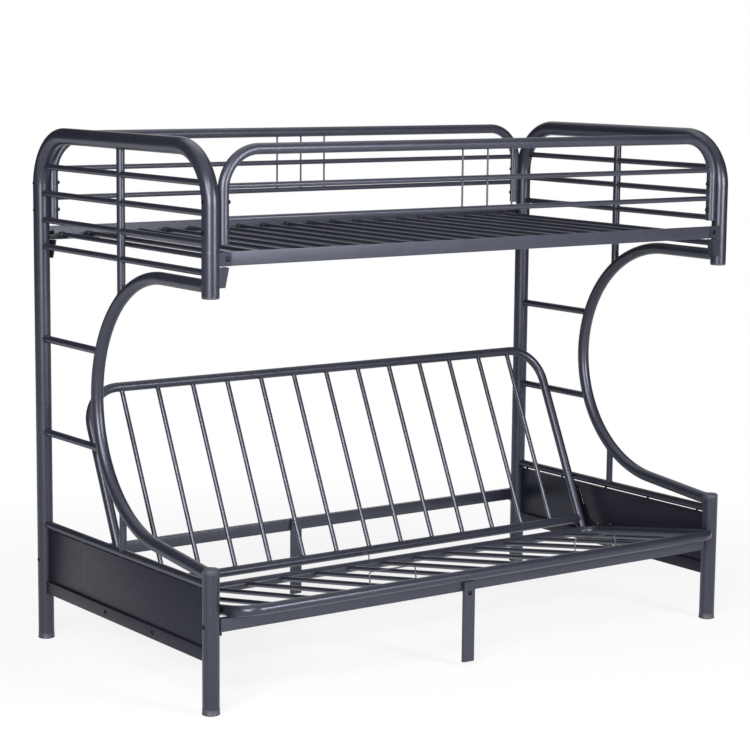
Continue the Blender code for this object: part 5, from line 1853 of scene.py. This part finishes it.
@dataclass
class FoldingGear(EndPart):
    """The swing link, its bracket with stud and stops, and the pivot pin of one side.

    Places along X are distances inwards from the plane of posts. Each stop is the distance
    of its peg from the stud along the link, and the side of the link that it is on. An edge's
    steps are each a rise and an inset from the radius.
    """

    sofa: SofaPlan
    bed_pivot: Pair = (0.34696, 0.3099)
    link_outer: float = 0.0331
    link_inner: float = 0.0371
    link_end: float = 0.013
    bracket_outer: float = 0.0103
    bracket_inner: float = 0.0133
    bracket_end: float = 0.018
    root: float = 0.001
    gap: float = 0.0003
    stud: float = 0.006
    stud_head: float = 0.010
    stud_edge: tuple[Pair, ...] = (
        (0.0, 0.0004), (0.0004, 0.0), (0.0014, 0.0), (0.0019, 0.0006))
    peg: float = 0.005
    peg_edge: float = 0.0006
    stops: tuple[tuple[float, int], ...] = ((0.060, -1), (0.020, 1))
    pin: float = 0.005
    pin_head: float = 0.008
    head_height: float = 0.0037
    pin_outer: float = 0.0291
    pin_inner: float = 0.0743
    outer_dome: tuple[Pair, ...] = (
        (0.0, 0.0036), (0.0006, 0.00144), (0.0016, 0.00032), (0.0026, 0.0))
    inner_dome: tuple[Pair, ...] = (
        (0.0, 0.0), (0.0012, 0.0), (0.0024, 0.00048), (0.0032, 0.00192), (0.0037, 0.0040))

    def stop_centre(self, pivot: Vector, reach: float, turn: int) -> Vector:
        """Axis of the peg that the link meets when the pivot is at a place."""
        along = (pivot - self.sofa.anchor).normalized()
        sideways = ALONG_X.cross(along) * turn
        offset = self.link_end + self.peg + self.gap
        return self.sofa.anchor + along * reach + sideways * offset

    def build_bracket(self) -> None:
        """The plate with the link's stud and its two stop pegs."""
        ends = [yz(y, self.sofa.anchor.z) for y in self.plan.stud_plate_bolts]
        outline = [point + self.inward * self.bracket_outer
                   for point in round_bar_outline(*ends, self.bracket_end)]
        push = self.inward * (self.bracket_inner - self.bracket_outer)
        base = self.bracket_inner - self.root
        near, far = self.link_outer - self.gap, self.link_inner + self.gap
        stud = [(base, self.stud_head), (near, self.stud_head), (near, self.stud),
                (far, self.stud), *rings(far, self.stud_head, self.stud_edge)]
        parts = [plate(outline, push, self.shop.gear_coat),
                 turned(self.sofa.anchor, self.inward, stud, self.shop.plated, 32)]
        peg = [(base, self.peg), (self.link_inner - self.peg_edge, self.peg),
               (self.link_inner, self.peg - self.peg_edge)]
        pivots = (self.sofa.pivot, yz(*self.bed_pivot))
        parts += [turned(self.stop_centre(pivot, *stop), self.inward, peg, self.shop.plated, 24)
                  for stop, pivot in zip(self.stops, pivots)]
        nuts = [(end + self.inward * self.bracket_inner, self.inward) for end in ends]
        parts.append(self.shop.bolts(Head.NUT, nuts, self.shop.plated))
        self.put("stud_plate", parts, "swing_bracket", "gear_steel")

    def build_link(self) -> None:
        """The bar that carries the pivot."""
        outline = [point + self.inward * self.link_outer for point in
                   round_bar_outline(self.sofa.anchor, self.sofa.pivot, self.link_end)]
        bar = plate(outline, self.inward * (self.link_inner - self.link_outer),
                    self.shop.gear_coat, Edge.TUMBLED)
        self.put("swing_bar", [bar], "swing_link", "gear_steel", "swing_links")

    def build_pin(self) -> None:
        """The headed pin on which the seat, the back and the links turn."""
        face = self.pin_outer + self.head_height
        profile = [*rings(self.pin_outer, self.pin_head, self.outer_dome),
                   (face, self.pin_head), (face, self.pin), (self.pin_inner, self.pin),
                   *rings(self.pin_inner, self.pin_head, self.inner_dome)]
        pin = turned(self.sofa.pivot, self.inward, profile, self.shop.blackened, 32)
        self.put("hinge_pin", [pin], "pivot_pin", "pin_steel", "swing_links")

    def build(self) -> None:
        """Builds the gear of this side."""
        self.build_bracket()
        self.build_link()
        self.build_pin()


# Camera and studio


@dataclass(frozen=True)
class PhotoCamera:
    """The camera that the photograph was solved for, with its angles in radians."""

    place: tuple[float, float, float] = (-4.1445, -5.6233, 1.8705)
    azimuth: float = 0.6267
    pitch: float = -0.1465
    roll: float = 0.0099
    lens: float = 105.555
    sensor: float = 36.0
    reach: float = 100.0

    def build(self) -> None:
        """Makes it the scene's camera."""
        flat = math.cos(self.pitch)
        ahead = Vector((math.sin(self.azimuth) * flat, math.cos(self.azimuth) * flat,
                        math.sin(self.pitch)))
        right = Vector((math.cos(self.azimuth), -math.sin(self.azimuth), 0))
        up = right.cross(ahead)
        turned_right = right * math.cos(self.roll) + up * math.sin(self.roll)
        turned_up = up * math.cos(self.roll) - right * math.sin(self.roll)
        data = bpy.data.cameras.new("photo_camera")
        data.lens, data.sensor_width = self.lens, self.sensor
        data.clip_end = self.reach
        camera = bpy.data.objects.new("photo_camera", data)
        axes = Matrix((turned_right, turned_up, -ahead)).transposed()
        camera.matrix_world = Matrix.Translation(self.place) @ axes.to_4x4()
        bpy.context.scene.collection.objects.link(camera)
        bpy.context.scene.camera = camera


@dataclass(frozen=True)
class SoftBox:
    """One soft lamp of the studio."""

    name: str
    place: tuple[float, float, float]
    size: Pair
    power: float
    aim: tuple[float, float, float] = (0.0, 0.0, 0.8)

    def build(self) -> None:
        """Hangs the lamp and aims it."""
        data = bpy.data.lights.new(self.name, "AREA")
        data.shape = "RECTANGLE"
        data.size, data.size_y = self.size
        data.energy = self.power
        lamp = bpy.data.objects.new(self.name, data)
        lamp.location = self.place
        toward = Vector(self.aim) - Vector(self.place)
        lamp.rotation_euler = toward.to_track_quat("-Z", "Y").to_euler()
        bpy.context.scene.collection.objects.link(lamp)


@dataclass(frozen=True)
class Studio:
    """White studio: a floor that fades to white, an even sky and soft lamps."""

    lamps: tuple[SoftBox, ...] = (
        SoftBox("left_softbox", (-4.9, -4.4, 2.0), (1.6, 1.7), 370.0, (0.0, 0.0, 1.3)),
        SoftBox("right_softbox", (1.3, -5.1, 1.9), (1.5, 1.6), 262.0, (0.0, 0.0, 1.3)),
        SoftBox("side_softbox", (-4.85, -2.55, 3.1), (0.5, 0.9), 118.0, (0.0, 0.2, 0.6)),
        SoftBox("high_softbox", (-3.0, -4.3, 3.9), (1.6, 1.0), 105.0, (0.0, 0.0, 0.7)),
        SoftBox("top_softbox", (0.0, 0.8, 4.4), (3.0, 2.0), 24.0),
    )
    sky: float = 0.09
    paper: Colour = (0.86, 0.86, 0.86)
    paper_roughness: float = 0.9
    fade: Pair = (0.8, 2.6)
    glow: Pair = (0.80, 1.0)
    floor_reach: float = 30.0
    flag_radius: float = 7.4
    flag_height: float = 9.0
    flag_lift: float = 0.02
    flag_turn: float = PhotoCamera.azimuth
    flag_spread: float = 2.8
    flag_grey: float = 0.02
    flag_weave: float = 30.0
    flag_mottle: Pair = (0.7, 1.3)
    flag_roughness: float = 0.95

    def build(self) -> None:
        """Sets the view transform, the world, the floor and the lamps."""
        bpy.context.scene.view_settings.view_transform = "Standard"
        self.build_world()
        self.build_floor()
        self.build_flag()
        for lamp in self.lamps:
            lamp.build()

    def seen(self, nodes: bpy.types.Nodes, links: bpy.types.NodeLinks) -> Socket:
        """One where a ray comes from the camera, a glossy bounce or a transmission."""
        path = nodes.new("ShaderNodeLightPath")
        total = path.outputs["Is Camera Ray"]
        for name in ("Is Glossy Ray", "Is Transmission Ray"):
            add = nodes.new("ShaderNodeMath")
            add.operation = "ADD"
            add.use_clamp = True
            links.new(total, add.inputs[0])
            links.new(path.outputs[name], add.inputs[1])
            total = add.outputs[0]
        return total

    def build_world(self) -> None:
        """A white surround as the background, and a dim one that lights the bed."""
        world = bpy.data.worlds.new("studio_surround")
        world.use_nodes = True
        nodes, links = world.node_tree.nodes, world.node_tree.links
        dim = nodes["Background"]
        white = nodes.new("ShaderNodeBackground")
        mix = nodes.new("ShaderNodeMixShader")
        for node, strength in ((dim, self.sky), (white, 1.0)):
            node.inputs["Color"].default_value = (1, 1, 1, 1)
            node.inputs["Strength"].default_value = strength
        links.new(self.seen(nodes, links), mix.inputs[0])
        links.new(dim.outputs[0], mix.inputs[1])
        links.new(white.outputs[0], mix.inputs[2])
        links.new(mix.outputs[0], nodes["World Output"].inputs["Surface"])
        bpy.context.scene.world = world

    def build_flag(self) -> None:
        """A dark cloth round the camera's side, which only reflections show."""
        mesh = bpy.data.meshes.new("dark_flag")
        ahead = Vector((math.sin(self.flag_turn), math.cos(self.flag_turn), 0))
        right = Vector((ahead.y, -ahead.x, 0))
        line = arc(ALONG_Z * self.flag_lift, -ahead, right, self.flag_radius,
                   (-self.flag_spread, self.flag_spread), 48)
        points = [tuple(point + ALONG_Z * rise) for point in line
                  for rise in (0, self.flag_height)]
        faces = [(i, i + 1, i + 3, i + 2) for i in range(0, len(points) - 2, 2)]
        mesh.from_pydata(points, [], faces)
        flag = bpy.data.objects.new("dark_flag", mesh)
        bpy.context.scene.collection.objects.link(flag)
        for ray in ("camera", "diffuse", "transmission", "shadow"):
            setattr(flag, f"visible_{ray}", False)
        art = Shading("flag_cloth")
        greys = (self.flag_grey * share for share in self.flag_mottle)
        art.set(Base_Color=art.between(art.noise(self.flag_weave), *greys),
                Roughness=self.flag_roughness)
        mesh.materials.append(art.material)

    def build_floor(self) -> None:
        """A paper floor that takes the bed's shadow and fades to white away from it."""
        half = self.floor_reach
        mesh = bpy.data.meshes.new("paper_floor")
        mesh.from_pydata([(-half, -half, 0), (half, -half, 0), (half, half, 0), (-half, half, 0)],
                         [], [(0, 1, 2, 3)])
        floor = bpy.data.objects.new("paper_floor", mesh)
        bpy.context.scene.collection.objects.link(floor)
        art = Shading("floor_paper")
        nodes, links = art.nodes, art.links
        art.shader.inputs["Base Color"].default_value = (*self.paper, 1)
        art.set(Roughness=self.paper_roughness)
        glow = nodes.new("ShaderNodeEmission")
        glow.inputs["Strength"].default_value = 1.0
        length = nodes.new("ShaderNodeVectorMath")
        length.operation = "LENGTH"
        links.new(art.place, length.inputs[0])
        far = art.between(length.outputs["Value"], *self.glow, self.fade)
        share = nodes.new("ShaderNodeMath")
        share.operation = "MULTIPLY"
        links.new(far, share.inputs[0])
        links.new(self.seen(nodes, links), share.inputs[1])
        mix = nodes.new("ShaderNodeMixShader")
        links.new(share.outputs[0], mix.inputs[0])
        links.new(art.shader.outputs[0], mix.inputs[1])
        links.new(glow.outputs[0], mix.inputs[2])
        links.new(mix.outputs[0], nodes["Material Output"].inputs["Surface"])
        mesh.materials.append(art.material)


def main() -> None:
    """Builds every sub-assembly in order."""
    logging.basicConfig(level=logging.INFO, format="%(name)s %(message)s")
    plan = BedPlan.from_frame()
    sofa = SofaPlan.from_frame(plan)
    shop = Shop()
    makers = [PhotoCamera(), Studio(), *(EndFrame(shop, plan, side) for side in Side),
              Deck(shop, plan), GuardRails(shop, plan), LowerRails(shop, plan),
              SofaSeat(shop, plan, sofa), SofaBack(shop, plan, sofa),
              *(FoldingGear(shop, plan, side, sofa) for side in Side)]
    for maker in makers:
        maker.build()


if __name__ == "__main__":
    main()
